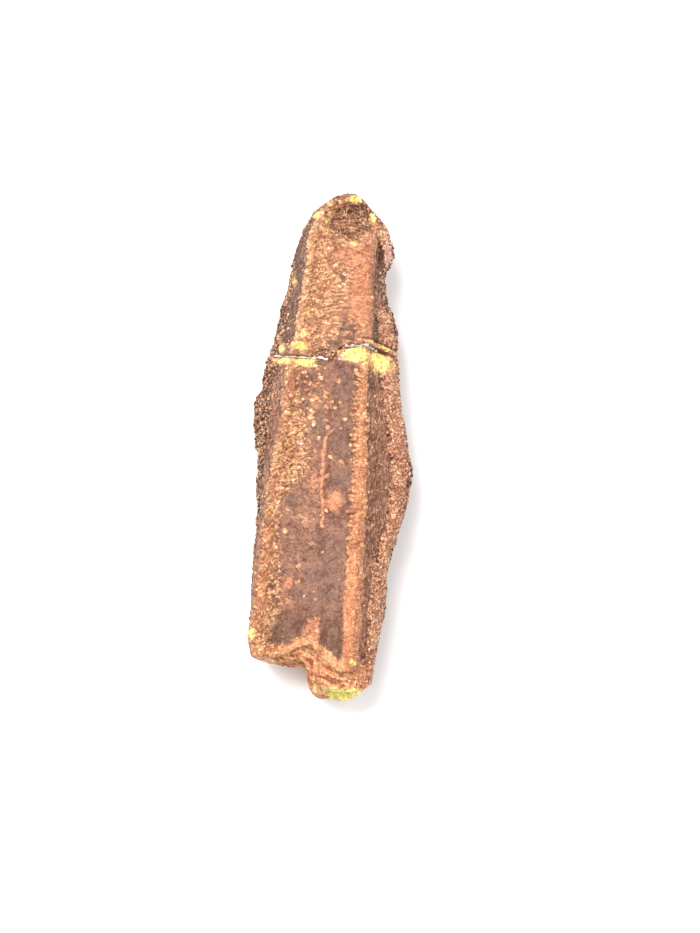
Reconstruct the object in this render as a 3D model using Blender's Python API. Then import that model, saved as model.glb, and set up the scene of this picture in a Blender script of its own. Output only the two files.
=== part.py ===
"""A fossil edmontosaurus tooth: one solid, lying on its back, in metres.

+Y runs along the tooth to its worn tip, +X across it, and +Z up out of the long enamel face, which two
raised margins and a thin middle ridge mark off. The back is a flat facet on Z = 0, and the origin is under
the middle of the tooth.

The tooth is lofted from edge lines that run along it, as a boat is from its chines. Each line is drawn in
millimetres as a few points, the sections between them are filled with strips, and the breaks, hollows,
ledges and the mended crack are pressed into that skin by formula.
"""

import bmesh
import bpy
import numpy as np
from mathutils import Vector, noise

MM = 0.001

# Driving dimensions, in millimetres.
TIP_Y = 18.0            # the worn tip
BUTT_Y = -17.95         # the furthest point of the broken butt
LEVEL_FACE = 8.8        # the enamel face above the back facet, at mid length
CORNER_ROUND = 0.22     # how far the edges are rounded off
LUMP_HEIGHT = 0.16      # the uneven surface of the whole tooth
LUMP_SIZE = 2.1
GRAIN_HEIGHT = 0.07     # its coarse grain
GRAIN_SIZE = 0.75
BREAK_GRAIN_HEIGHT = 0.13       # and that of the broken butt
BREAK_GRAIN_SIZE = 0.9
COLOUR = (0.42, 0.21, 0.13, 1.0)
ROUGHNESS = 0.55

# The level of the enamel face and of the back along the tooth, as (y, z).
FACE_LEVEL = ((-18, 7.7), (-14, 8.1), (-8, 8.5), (0, LEVEL_FACE), (6, 8.7), (10, 8.3), (14, 7.6),
              (16, 7.0), (17.2, 6.3), (17.8, 5.6), (TIP_Y, 4.9))
BACK_LEVEL = ((-18, 0), (5, 0), (8, 0.15), (11, 0.7), (14, 1.6), (16, 2.5), (17.2, 3.4), (17.8, 4.1),
              (TIP_Y, 4.7))

# Where the outline ends to the left and the right, as (y, x). The left side has a small shoulder near
# y = 3, and the right side a lobe above a chip that ends at y = 9.7, and a bulge at y = -1.3.
LEFT_SIDE = ((-18, -4.7), (-15.2, -4.85), (-14, -5.0), (-12, -4.9), (-9, -5.1), (-5, -5.15), (-2, -5.35),
             (0, -5.62), (2, -5.85), (3, -5.78), (3.5, -5.5), (5, -5.35), (7, -4.9), (10, -4.38),
             (12.5, -3.92), (14, -3.62), (15.5, -3.25), (16.5, -2.68), (17, -2.25), (17.5, -1.6),
             (17.85, -0.85), (TIP_Y, -0.35))
RIGHT_SIDE = ((-18, 4.1), (-15, 4.3), (-11, 4.65), (-8, 4.85), (-5, 5.4), (-3, 5.8), (-1.3, 5.98),
              (0, 5.68), (1, 5.3), (4, 4.68), (8, 4.2), (9.5, 3.95), (9.9, 3.55), (10.4, 3.15),
              (11.4, 2.85), (12.5, 2.85), (13, 3.2), (13.6, 3.48), (14.3, 3.38), (15.3, 2.88), (16, 2.43),
              (17, 1.45), (17.5, 0.95), (17.85, 0.45), (TIP_Y, 0.15))

# The lines inside the outline: where they run, as (y, x), and their share of the way from back to face.
LEFT_MARGIN = ((-18, -4.45), (-13, -4.55), (-7, -4.35), (-1.5, -3.9), (2, -3.5), (7, -3.2), (10, -2.9),
               (14, -2.7))
MIDDLE_RIDGE = ((-18, -0.2), (-11, -0.2), (-4.8, -0.4), (-2.5, -0.5), (0, -0.45), (2.2, 0.05),
                (3.3, -0.35), (14, -0.3))
RIGHT_MARGIN = ((-18, 2.6), (-13.5, 2.5), (-8, 2.45), (-4.7, 2.4), (-1, 2.2), (4.7, 1.95), (8, 1.95),
                (14, 1.65))
OUTER_RIDGE = ((-18, 3.9), (-12.8, 4.15), (-6.7, 4.5), (-4.6, 4.95), (-1.3, 4.95), (0.9, 4.55),
               (3.7, 3.95), (7.9, 3.45), (10.7, 2.55), (14, 2.7))
BACK_RIGHT = ((-18, 2.5), (-6, 2.9), (0, 3.0), (8, 2.0), (14, 1.4))
BACK_LEFT = ((-18, -2.9), (-6, -3.1), (0, -3.2), (8, -2.4), (14, -1.7))
TIP_START = 14.0        # above this the inner lines draw together with the outline

# Each line with its height share and, for the strip that follows it, how many columns it has and how far it
# bows out (or, below 0, is hollow), in the order they go round the tooth.
LINES = (
    (LEFT_MARGIN, 0.985, 11, -0.34),
    (MIDDLE_RIDGE, 0.965, 10, -0.3),
    (RIGHT_MARGIN, 1.0, 8, -0.22),
    (OUTER_RIDGE, 0.72, 4, 0.05),
    (RIGHT_SIDE, 0.46, 6, 0.35),
    (BACK_RIGHT, 0.0, 8, 0.0),
    (BACK_LEFT, 0.0, 6, 0.3),
    (LEFT_SIDE, 0.52, 7, 0.12),
)

# The broken butt: where the face ends, where the back ends, and the ledges between, as (y) at each x.
FACE_END = ((-5.2, -15.0), (-3.3, -15.2), (-2.4, -15.0), (-1.2, -14.3), (-0.5, -14.1), (0.2, -14.7),
            (0.8, -15.2), (1.8, -15.8), (2.8, -15.75), (3.6, -15.9), (4.6, -15.4))
BACK_END_LEFT = ((-5.2, -15.1), (-4.5, -15.45), (-3.3, -15.75), (-1.7, -15.85), (4.6, -15.85))
BACK_END_RIGHT = ((-0.6, -16.6), (-0.3, -17.3), (0.1, -17.8), (0.8, BUTT_Y), (2.4, BUTT_Y), (3.1, -17.6),
                  (3.6, -17.1), (4.1, -16.6), (4.6, -15.8))
STEP_X = -0.55          # the break steps down here to the longer right half
STEP_LEAN = 0.22
LEDGE_LEVELS = (6.3, 4.7)       # heights of the two ledges in the break
LEDGE_SHARES = (0.7, 0.3)
LEDGE_SOFT = 0.45
BUTT_STRETCH_Y = -13.0  # the skin follows the shape of the break below this

# The mended crack: its y on the face at each x, and on the back.
CRACK_FACE = ((-6.0, 6.1), (-4.0, 6.05), (-1.2, 6.1), (-0.55, 6.0), (-0.15, 6.7), (0.5, 7.1), (1.8, 7.25),
              (2.9, 7.0), (4.3, 6.6), (6.0, 6.5))
CRACK_BACK = ((-6.0, 6.1), (-2.5, 6.7), (-0.5, 6.3), (1.5, 7.1), (4.0, 6.6), (6.0, 6.5))
CRACK_DEPTH = 0.34
CRACK_WIDTH = 0.17
# Under it the lower piece's edge is broken off at a slant, as (x, length, depth).
SLANT_LENGTH = ((-5.6, 0.3), (-4.4, 0.65), (-1.9, 0.7), (-1.1, 0.15), (-0.3, 0.1), (0.2, 1.0),
                (1.2, 1.25), (1.9, 0.9), (2.6, 1.45), (3.6, 1.5), (4.4, 0.7), (5.6, 0.3))
SLANT_DEPTH = 0.42

# Hollows: (x, y, half width, half length, depth), pressed straight down into the face.
TIP_PIT = (0.1, 16.1, 1.6, 1.45, 1.1)
LEFT_SCOOP = (-2.1, -13.4, 1.15, 2.0, 0.4)
RIGHT_SCOOP = (1.05, -13.9, 0.85, 2.2, 0.45)
CRACK_HOLLOW = (-0.95, 6.4, 0.75, 0.5, 0.3)
LOBE_GROOVE = (2.1, 14.1, 0.35, 1.4, 0.55)
LEFT_SLIT = (-2.95, 13.5, 0.3, 1.9, 0.3)
HOLLOWS = (TIP_PIT, LEFT_SCOOP, RIGHT_SCOOP, CRACK_HOLLOW, LOBE_GROOVE, LEFT_SLIT)
PIT_RIM_HEIGHT = 0.3

# Ridges raised on the face: (line, half width, height, from y, to y).
RAISED = (
    (MIDDLE_RIDGE, 0.2, 0.16, -5.2, 5.8),
    (MIDDLE_RIDGE, 0.45, 0.3, -14.2, -11.0),
    (LEFT_MARGIN, 0.5, 0.14, -14.5, 15.5),
    (RIGHT_MARGIN, 0.45, 0.16, -15.2, 15.0),
)

# Spacing of the sections along the tooth, in millimetres, from each y upwards, and how many close the tip.
SECTION_STEPS = ((BUTT_Y, 0.5), (-12.0, 0.8), (5.0, 0.24), (7.8, 0.6), (12.4, 0.4), (16.4, None))
TIP_SECTIONS = 8
BUTT_RINGS = 7
BUTT_MIDDLE = (1.2, 2.8)        # the x and z that the rings of the butt close on


def curve_through(points, at):
    """A smooth curve through a line's points that never overshoots them, read at each value."""
    xs, ys = np.array(points, float).T
    slope = np.diff(ys) / np.diff(xs)
    tangent = np.zeros(len(xs))
    same_way = slope[:-1] * slope[1:] > 0
    total = np.where(same_way, slope[:-1] + slope[1:], 1.0)
    tangent[1:-1] = np.where(same_way, 2 * slope[:-1] * slope[1:] / total, 0.0)
    tangent[0], tangent[-1] = slope[0], slope[-1]
    at = np.clip(np.asarray(at, float), xs[0], xs[-1])
    k = np.clip(np.searchsorted(xs, at, side="right") - 1, 0, len(xs) - 2)
    width = xs[k + 1] - xs[k]
    t = (at - xs[k]) / width
    return (
        ys[k] * (1 + 2 * t) * (1 - t) ** 2
        + ys[k + 1] * t * t * (3 - 2 * t)
        + width * t * (1 - t) * (tangent[k] * (1 - t) - tangent[k + 1] * t)
    )


def ease(low, high, value):
    """0 below low, 1 above high, smooth between."""
    t = np.clip((value - low) / (high - low), 0, 1)
    return t * t * (3 - 2 * t)


def section_places():
    """Where the sections stand along the tooth: closer at the crack, and closing in on the tip."""
    runs = [np.linspace(low, high, round((high - low) / step), endpoint=False)
            for (low, step), (high, _) in zip(SECTION_STEPS, SECTION_STEPS[1:])]
    share = np.linspace(0, 1, TIP_SECTIONS)
    last = SECTION_STEPS[-1][0]
    runs.append(last + (TIP_Y - last) * (1 - (1 - share) ** 1.6))
    return np.concatenate(runs)


def line_places(y):
    """The x and z of every edge line at each section."""
    left = curve_through(LEFT_SIDE, y)
    right = curve_through(RIGHT_SIDE, y)
    back = curve_through(BACK_LEVEL, y)
    face = curve_through(FACE_LEVEL, y)
    start = np.array([TIP_START])
    start_left = curve_through(LEFT_SIDE, start)
    start_right = curve_through(RIGHT_SIDE, start)
    closing = (right - left) / (start_right - start_left)
    xs, zs = [], []
    for line, height, _, _ in LINES:
        x = curve_through(line, y)
        if line not in (LEFT_SIDE, RIGHT_SIDE):
            share = (curve_through(line, start) - start_left) / (start_right - start_left)
            x = np.where(y > TIP_START, left + share * closing * (start_right - start_left), x)
        xs.append(x)
        zs.append(back + height * (face - back))
    return np.stack(xs, 1), np.stack(zs, 1)


def skin(y):
    """The skin as points [section, column, xyz], before anything is pressed into it."""
    line_x, line_z = line_places(y)
    columns = []
    for k, (_, _, strips, bow) in enumerate(LINES):
        after = (k + 1) % len(LINES)
        dx = line_x[:, after] - line_x[:, k]
        dz = line_z[:, after] - line_z[:, k]
        length = np.hypot(dx, dz) + 1e-9
        small = np.clip(length / 1.5, 0, 1)
        for t in np.arange(strips) / strips:
            out = bow * small * 4 * t * (1 - t)
            columns.append(np.stack([
                line_x[:, k] + dx * t - dz / length * out,
                y,
                line_z[:, k] + dz * t + dx / length * out,
            ], 1))
    points = np.stack(columns, 1)
    return rounded(points)


def rounded(points):
    """Rounds the edges off by averaging round each section, over CORNER_ROUND whatever the spacing."""
    step = np.linalg.norm(np.roll(points, -1, 1) - points, axis=2).mean()
    passes = max(1, round(2 * (CORNER_ROUND / step) ** 2))
    for _ in range(passes):
        beside = np.roll(points, 1, 1) + np.roll(points, -1, 1)
        points = 0.5 * points + 0.25 * beside
    return points


def outward(points):
    """The direction out of the tooth at each point of its skin, across the tooth."""
    along = np.roll(points, -1, 1) - np.roll(points, 1, 1)
    out = np.stack([-along[..., 2], np.zeros(along.shape[:2]), along[..., 0]], 2)
    return out / (np.linalg.norm(out, axis=2, keepdims=True) + 1e-9)


def butt_end(x, z):
    """The y of the broken butt: two ledges between face and back, and a step to the longer right half."""
    to_right = ease(STEP_X - STEP_LEAN, STEP_X + STEP_LEAN, x + 0.06 * (z - 4))
    back = (1 - to_right) * curve_through(BACK_END_LEFT, x) + to_right * curve_through(BACK_END_RIGHT, x)
    face = curve_through(FACE_END, x)
    y = face
    for level, share in zip(LEDGE_LEVELS, LEDGE_SHARES):
        y = y + share * (back - face) * (1 - ease(level - LEDGE_SOFT, level + LEDGE_SOFT, z))
    return y


def follow_the_break(points):
    """Stretches the lower skin so that each column ends on the break."""
    x, y, z = points[..., 0], points[..., 1], points[..., 2]
    end = butt_end(x, z)
    share = np.clip((BUTT_STRETCH_Y - y) / (BUTT_STRETCH_Y - BUTT_Y), 0, None)
    points[..., 1] = np.where(share > 0, BUTT_STRETCH_Y + share * (end - BUTT_STRETCH_Y), y)
    return points


def crack_line(x, z):
    """The y of the mended crack, which goes all the way round."""
    on_face = ease(2.0, 6.0, z)
    return (1 - on_face) * curve_through(CRACK_BACK, x) + on_face * curve_through(CRACK_FACE, x)


def crack_relief(x, y, z):
    """How deep the crack and the slanted break under it go in."""
    above = y - crack_line(x, z)
    from_side = np.minimum(x - curve_through(LEFT_SIDE, y), curve_through(RIGHT_SIDE, y) - x)
    groove = CRACK_DEPTH * np.exp(-((above / CRACK_WIDTH) ** 2)) * (0.45 + 0.55 * ease(0.1, 0.9, from_side))
    length = np.maximum(curve_through(SLANT_LENGTH, x), 0.1)
    slant = SLANT_DEPTH * np.clip(1 + above / length, 0, 1) * (above < 0.02) * np.minimum(length, 1.0)
    return groove + slant * ease(0.05, 0.7, from_side) * ease(4.5, 6.0, z)


def reach_from(hollow, x, y):
    """How far each point is from a hollow's middle: 1 at its edge, which is a little uneven."""
    cx, cy, half_width, half_length, _ = hollow
    across, along = (x - cx) / half_width, (y - cy) / half_length
    turn = np.arctan2(along, across)
    return np.hypot(across, along) * (1 + 0.08 * np.sin(3 * turn + 1) + 0.05 * np.sin(5 * turn))


def hollow_relief(x, y, z):
    """How deep the hollows in the face go down, less the rim that stands round the pit in the tip."""
    depth = np.zeros(x.shape)
    for hollow in HOLLOWS:
        depth += hollow[-1] * (1 - ease(0.45, 1.1, reach_from(hollow, x, y)))
    rim = (reach_from(TIP_PIT, x, y) - 1.2) / 0.22
    depth -= PIT_RIM_HEIGHT * np.exp(-rim * rim)
    return depth * ease(3.2, 5.2, z)


def ridge_relief(x, y, z):
    """How far the margins and the middle ridge stand up."""
    height = np.zeros(x.shape)
    for line, half_width, tall, low, high in RAISED:
        beside = (x - curve_through(line, y)) / half_width
        length = ease(low - 0.8, low + 0.8, y) * (1 - ease(high - 0.8, high + 0.8, y))
        height += tall * np.exp(-beside * beside) * length
    return height * ease(5.0, 6.5, z)


def lumps(points, height, size):
    """Uneven rock-like relief, the same each time."""
    flat = points.reshape(-1, 3) / size
    made = np.array([noise.fractal(Vector(p), 1.0, 2.0, 3) for p in flat])
    return height * made.reshape(points.shape[:-1])


def weathered(points):
    """The skin with its breaks, ridges and rough surface. The back facet stays flat on Z = 0."""
    out = outward(points)
    x, y, z = points[..., 0].copy(), points[..., 1].copy(), points[..., 2].copy()
    rough = lumps(points, LUMP_HEIGHT, LUMP_SIZE) + lumps(points + 40, GRAIN_HEIGHT, GRAIN_SIZE)
    off_the_facet = ease(0.0, 0.9, z)
    push = ridge_relief(x, y, z) - crack_relief(x, y, z) * ease(0.0, 0.6, z) + rough * off_the_facet
    closing = np.clip((TIP_Y - y) / 1.2, 0.1, 1)
    points = points + out * (push * closing)[..., None]
    points[..., 2] -= hollow_relief(x, y, z) * closing
    points[..., 2] = np.maximum(points[..., 2], 0)
    return points


def butt_rings(rim):
    """Rings that shrink from the butt's rim to one point, each on the break and with the grain of it."""
    middle = np.array([BUTT_MIDDLE[0], 0, BUTT_MIDDLE[1]])
    rings = [middle + (rim - middle) * (1 - k / BUTT_RINGS) for k in range(1, BUTT_RINGS)] + [middle[None]]
    for ring in rings:
        ring[:, 1] = butt_end(ring[:, 0], ring[:, 2])
        ring[:, 1] += lumps(ring * (1, 0, 1), BREAK_GRAIN_HEIGHT, BREAK_GRAIN_SIZE)
    return rings


def join_rings(mesh, low, high):
    """A band of faces from one ring of vertices to the next, or to a single last one."""
    for k in range(len(low)):
        after = (k + 1) % len(low)
        top = (high[after], high[k]) if len(high) > 1 else (high[0],)
        mesh.faces.new((low[k], low[after], *top))


def tooth_mesh():
    """The whole closed mesh, in metres."""
    points = weathered(follow_the_break(skin(section_places())))
    tip = points[-1].mean(0, keepdims=True)
    rings = [*butt_rings(points[0])[::-1], *points, tip]
    mesh = bmesh.new()
    verts = [[mesh.verts.new(Vector(p) * MM) for p in ring] for ring in rings]
    for low, high in zip(verts[1:], verts[2:]):
        join_rings(mesh, low, high)
    join_rings(mesh, verts[1][::-1], verts[0])
    bmesh.ops.triangulate(mesh, faces=mesh.faces)
    made = bpy.data.meshes.new("tooth")
    mesh.to_mesh(made)
    mesh.free()
    return made


def mineral():
    """Brown fossil dentine and enamel."""
    material = bpy.data.materials.new("fossil_mineral")
    material.use_nodes = True
    shader = material.node_tree.nodes["Principled BSDF"]
    shader.inputs["Base Color"].default_value = COLOUR
    shader.inputs["Roughness"].default_value = ROUGHNESS
    shader.inputs["Metallic"].default_value = 0.0
    return material


def main():
    for old in list(bpy.data.objects):
        bpy.data.objects.remove(old)
    tooth = bpy.data.objects.new("tooth", tooth_mesh())
    bpy.context.collection.objects.link(tooth)
    tooth.data.materials.append(mineral())


main()
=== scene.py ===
# %% [markdown]
# # A fossil edmontosaurus tooth
# The real thing is one crown from the lower jaw of a duck-billed dinosaur, 36 mm long, turned to stone. It
# has broken across and been glued together again. Its long enamel face looks up, between two beaded margins.
#
# The packed solid already has the size, the edges and the breaks, but only a few thousand flat facets. This
# lesson makes the fine skin that stands in its place, with grain, beads along the margins, glue in the crack
# and the colours of weathered bone. First the solid is loaded and its box is kept, to hold the dressed tooth
# against it at the end.

# %% Load the frame
import math

import bpy
import numpy as np
from mathutils import Matrix, Vector, noise


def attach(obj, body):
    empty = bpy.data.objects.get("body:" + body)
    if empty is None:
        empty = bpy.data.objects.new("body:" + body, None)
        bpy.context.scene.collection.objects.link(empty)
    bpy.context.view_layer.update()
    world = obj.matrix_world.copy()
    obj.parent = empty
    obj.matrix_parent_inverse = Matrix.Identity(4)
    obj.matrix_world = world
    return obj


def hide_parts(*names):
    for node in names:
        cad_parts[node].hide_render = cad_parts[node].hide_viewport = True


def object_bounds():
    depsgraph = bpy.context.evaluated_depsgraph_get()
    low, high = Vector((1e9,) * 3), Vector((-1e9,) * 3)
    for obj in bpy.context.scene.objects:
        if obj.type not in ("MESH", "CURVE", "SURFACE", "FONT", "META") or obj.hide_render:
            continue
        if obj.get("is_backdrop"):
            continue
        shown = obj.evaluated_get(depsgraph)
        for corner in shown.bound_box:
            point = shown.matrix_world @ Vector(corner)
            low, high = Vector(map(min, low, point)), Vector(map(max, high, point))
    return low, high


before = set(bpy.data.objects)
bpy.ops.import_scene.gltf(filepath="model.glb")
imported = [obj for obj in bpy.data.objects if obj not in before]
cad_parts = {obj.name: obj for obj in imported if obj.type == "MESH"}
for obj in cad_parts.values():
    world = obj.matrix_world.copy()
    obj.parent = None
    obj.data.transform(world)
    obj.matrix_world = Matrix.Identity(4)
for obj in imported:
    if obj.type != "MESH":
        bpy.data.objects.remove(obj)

MM = 0.001
cad_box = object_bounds()
print("the solid spans", [round((b - a) / MM, 2) for a, b in zip(*cad_box)], "mm")

# %% [markdown]
# ## Where the camera stands
# The tooth lies on its back, so a camera straight above sees the whole enamel face. A long lens far away
# keeps the outline nearly as in a plan drawing, where a short lens would swell the middle. The camera is
# rolled a few degrees, so the tooth leans a little to the right in the picture. Its distance follows from
# the lens and from how much of the tooth one pixel should span.

# %% A camera straight above
PICTURE_HEIGHT = 933            # pixels, in a picture 700 wide
PIXEL = 0.0713 * MM             # what one pixel spans at the tooth's outline
LENS = 150.0
SENSOR = 36.0
LOOK_AT = Vector((1.35, -1.35, 4.5)) * MM
LEAN = math.radians(4.5)


def place_in_scene(name, data):
    """A new object that holds this camera, lamp or mesh."""
    made = bpy.data.objects.new(name, data)
    bpy.context.collection.objects.link(made)
    return made


def make_camera():
    """A long lens above LOOK_AT, with the picture's up direction turned LEAN from +Y towards -X."""
    lens = bpy.data.cameras.new("camera")
    lens.lens, lens.sensor_width = LENS, SENSOR
    distance = PICTURE_HEIGHT * PIXEL / SENSOR * LENS
    right = Vector((math.cos(LEAN), math.sin(LEAN), 0))
    up = Vector((-math.sin(LEAN), math.cos(LEAN), 0))
    turn = Matrix((right, up, right.cross(up))).transposed().to_4x4()
    camera = place_in_scene("camera", lens)
    camera.matrix_world = Matrix.Translation(LOOK_AT + Vector((0, 0, distance))) @ turn
    bpy.context.scene.camera = camera
    return distance


print("the camera is", round(make_camera() / MM), "mm above the tooth")

# %% [markdown]
# ## Light and floor
# A specimen is shown on white in soft light from all round, so that nothing hides in shadow, and with one
# stronger softbox up and to the left, so that the grain still shows. The floor is a plain pale sheet.
# The Standard view keeps the oranges as saturated as they are painted, where a film-like view would grey
# them.

# %% Soft studio light on a pale floor
SOFTBOXES = {  # name: (place and size in metres, power in watts)
    "key": ((-0.17, 0.22, 0.55), 0.26, 4.3),
    "fill": ((0.30, -0.10, 0.45), 0.35, 0.765),
}
SURROUND = 0.86
FLOOR_SIDE = 3.0
FLOOR_COLOUR = (0.93, 0.93, 0.93, 1)
FLOOR_ROUGHNESS = 0.9
FLOOR_DROP = 0.01 * MM          # keeps the flat back of the tooth off the sheet


def make_softbox(name, place, side, watts):
    """A square lamp that faces the tooth."""
    lamp = bpy.data.lights.new(name, "AREA")
    lamp.size, lamp.energy = side, watts
    holder = place_in_scene(name, lamp)
    holder.location = place
    holder.rotation_euler = Vector(place).to_track_quat("Z", "Y").to_euler()


def make_surround():
    """White light from all round."""
    world = bpy.data.worlds.new("studio")
    world.use_nodes = True
    background = world.node_tree.nodes["Background"].inputs
    background["Color"].default_value = (1, 1, 1, 1)
    background["Strength"].default_value = SURROUND
    bpy.context.scene.world = world
    bpy.context.scene.view_settings.view_transform = "Standard"


def make_floor():
    """A square sheet just under the tooth."""
    far = FLOOR_SIDE / 2
    made = bpy.data.meshes.new("floor")
    made.from_pydata([(-far, -far, 0), (far, -far, 0), (far, far, 0), (-far, far, 0)], [], [(0, 1, 2, 3)])
    sheet = bpy.data.materials.new("pale_floor")
    sheet.use_nodes = True
    finish = sheet.node_tree.nodes["Principled BSDF"].inputs
    finish["Base Color"].default_value = FLOOR_COLOUR
    finish["Roughness"].default_value = FLOOR_ROUGHNESS
    made.materials.append(sheet)
    floor = place_in_scene("floor", made)
    floor.location.z = -FLOOR_DROP
    floor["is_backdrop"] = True


for lamp_name, (place, side, watts) in SOFTBOXES.items():
    make_softbox(lamp_name, place, side, watts)
make_surround()
make_floor()
print("lit by", ", ".join(SOFTBOXES))

# %% [markdown]
# ## Curves drawn one by one
# The crown is lofted, as a boat's hull is: edge lines run along it, and each section joins them up.
# Sculpting it would also work, but lines with a name and a few points can be read and corrected. All of them
# are in millimetres. A line is smooth through its points and never swings past them, which a plain spline
# would do at the chip in the right side.

# %% A smooth line through named points
def curve_through(points, at):
    """A smooth curve through a line's points that never overshoots them, read at each value."""
    xs, ys = np.array(points, float).T
    slope = np.diff(ys) / np.diff(xs)
    tangent = np.zeros(len(xs))
    same_way = slope[:-1] * slope[1:] > 0
    total = np.where(same_way, slope[:-1] + slope[1:], 1.0)
    tangent[1:-1] = np.where(same_way, 2 * slope[:-1] * slope[1:] / total, 0.0)
    tangent[0], tangent[-1] = slope[0], slope[-1]
    at = np.clip(np.asarray(at, float), xs[0], xs[-1])
    k = np.clip(np.searchsorted(xs, at, side="right") - 1, 0, len(xs) - 2)
    width = xs[k + 1] - xs[k]
    t = (at - xs[k]) / width
    return (
        ys[k] * (1 + 2 * t) * (1 - t) ** 2
        + ys[k + 1] * t * t * (3 - 2 * t)
        + width * t * (1 - t) * (tangent[k] * (1 - t) - tangent[k + 1] * t)
    )


def ease(low, high, value):
    """0 below low, 1 above high, smooth between."""
    t = np.clip((value - low) / (high - low), 0, 1)
    return t * t * (3 - 2 * t)


def between(start, full, fading, end, value):
    """0 up to start, 1 from full to fading, and 0 again from end on."""
    return ease(start, full, value) * (1 - ease(fading, end, value))


print("half way from (0, 0) to (2, 1), a curve is at", curve_through(((0, 0), (2, 1)), 1.0))

# %% The edge lines of the crown
TIP_Y = 18.0
BUTT_Y = -17.95
LEVEL_FACE = 8.8
FACE_LEVEL = ((-18, 7.7), (-14, 8.1), (-8, 8.5), (0, LEVEL_FACE), (6, 8.7), (10, 8.3), (14, 7.6),
              (16, 7.0), (17.2, 6.3), (17.8, 5.6), (TIP_Y, 4.9))
BACK_LEVEL = ((-18, 0), (5, 0), (8, 0.15), (11, 0.7), (14, 1.6), (16, 2.5), (17.2, 3.4), (17.8, 4.1),
              (TIP_Y, 4.7))
LEFT_SIDE = ((-18, -4.45), (-17.3, -4.7), (-16.5, -4.78), (-14.8, -4.72), (-13.5, -4.67), (-12, -4.74),
             (-9, -4.95), (-5, -5.0), (-2, -5.23), (0, -5.53), (2, -5.77), (3, -5.7), (3.5, -5.42),
             (5, -5.27), (7, -4.82), (10, -4.31), (12.5, -3.86), (14, -3.57), (15.5, -3.2), (16.5, -2.6),
             (17, -2.05), (17.5, -1.38), (17.85, -0.75), (TIP_Y, -0.35))
RIGHT_SIDE = ((-18, 4.05), (-15, 4.24), (-11, 4.57), (-8, 4.77), (-5, 5.31), (-3, 5.71), (-1.3, 5.89),
              (0, 5.59), (1, 5.21), (4, 4.6), (6.6, 4.2), (8.3, 3.95), (9.1, 3.84), (9.6, 3.66),
              (10.0, 3.42), (10.35, 3.08), (11.4, 2.85), (12.5, 2.85), (13, 3.17), (13.6, 3.36),
              (14.3, 3.3), (15.3, 2.88), (16, 2.43), (17, 1.45), (17.5, 0.95), (17.85, 0.45), (TIP_Y, 0.15))
LEFT_MARGIN = ((-18, -4.45), (-13, -4.55), (-7, -4.35), (-1.5, -3.9), (2, -3.5), (7, -3.2), (10, -2.9),
               (14, -2.7))
MIDDLE_RIDGE = ((-18, -0.2), (-11, -0.2), (-4.8, -0.4), (-2.5, -0.5), (0, -0.45), (2.2, 0.05),
                (3.3, -0.35), (14, -0.3))
THREAD = ((-6.2, -0.3), (-5, -0.3), (-3.2, -0.5), (-1.4, -0.6), (0, -0.58), (0.7, -0.42), (1.2, -0.05),
          (1.8, 0.4))
RIGHT_MARGIN = ((-18, 2.5), (-13.5, 2.42), (-8, 2.27), (-4.7, 2.2), (-1, 2.02), (4.7, 1.82), (8, 1.9),
                (14, 1.65))
OUTER_RIDGE = ((-18, 3.9), (-12.8, 4.15), (-6.7, 4.5), (-4.6, 4.95), (-1.3, 4.95), (0.9, 4.55),
               (3.7, 3.95), (7.9, 3.45), (10.7, 2.55), (14, 2.7))
BACK_RIGHT = ((-18, 2.5), (-6, 2.9), (0, 3.0), (8, 2.0), (14, 1.4))
BACK_LEFT = ((-18, -2.9), (-6, -3.1), (0, -3.2), (8, -2.4), (14, -1.7))
TIP_START = 14.0
LINES = (  # line, height share, columns in the strip after it, and how far that strip bows out
    (LEFT_MARGIN, 0.985, 46, -0.34),
    (MIDDLE_RIDGE, 0.965, 36, -0.3),
    (RIGHT_MARGIN, 1.0, 30, -0.22),
    (OUTER_RIDGE, 0.72, 16, 0.05),
    (RIGHT_SIDE, 0.46, 14, 0.35),
    (BACK_RIGHT, 0.0, 10, 0.0),
    (BACK_LEFT, 0.0, 14, 0.3),
    (LEFT_SIDE, 0.52, 32, 0.12),
)
SECTION_STEPS = ((BUTT_Y, 0.082), (5.0, 0.075), (7.8, 0.082), (16.4, None))     # from which y, how far apart
TIP_SECTIONS = 30
TIP_CROWDING = 1.6              # more than 1 sets the sections closer together towards the tip
CORNER_ROUND = 0.22


def section_places():
    """Where the sections stand along the tooth, closing in on the tip."""
    runs = [np.linspace(low, high, round((high - low) / step), endpoint=False)
            for (low, step), (high, _) in zip(SECTION_STEPS, SECTION_STEPS[1:])]
    share = np.linspace(0, 1, TIP_SECTIONS)
    last = SECTION_STEPS[-1][0]
    runs.append(last + (TIP_Y - last) * (1 - (1 - share) ** TIP_CROWDING))
    return np.concatenate(runs)


def line_places(y):
    """The x and z of every edge line at each section."""
    left, right = curve_through(LEFT_SIDE, y), curve_through(RIGHT_SIDE, y)
    back, face = curve_through(BACK_LEVEL, y), curve_through(FACE_LEVEL, y)
    start = np.array([TIP_START])
    start_left, start_right = curve_through(LEFT_SIDE, start), curve_through(RIGHT_SIDE, start)
    xs, zs = [], []
    for line, height, _, _ in LINES:
        x = curve_through(line, y)
        if line not in (LEFT_SIDE, RIGHT_SIDE):
            share = (curve_through(line, start) - start_left) / (start_right - start_left)
            x = np.where(y > TIP_START, left + share * (right - left), x)
        xs.append(x)
        zs.append(back + height * (face - back))
    return np.stack(xs, 1), np.stack(zs, 1)


print(len(section_places()), "sections of", sum(line[2] for line in LINES), "columns")

# %% [markdown]
# ## The bare crown
# Between two edge lines goes a strip of columns, bowed out on the flanks and hollowed on the enamel face.
# The corners are then rounded by averaging round each section, with weights that fade with the distance, so
# that close columns and wide ones are rounded alike.

# %% The skin before anything is pressed into it
FULL_BOW = 1.5          # a strip narrower than this, in mm, bows out less


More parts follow.
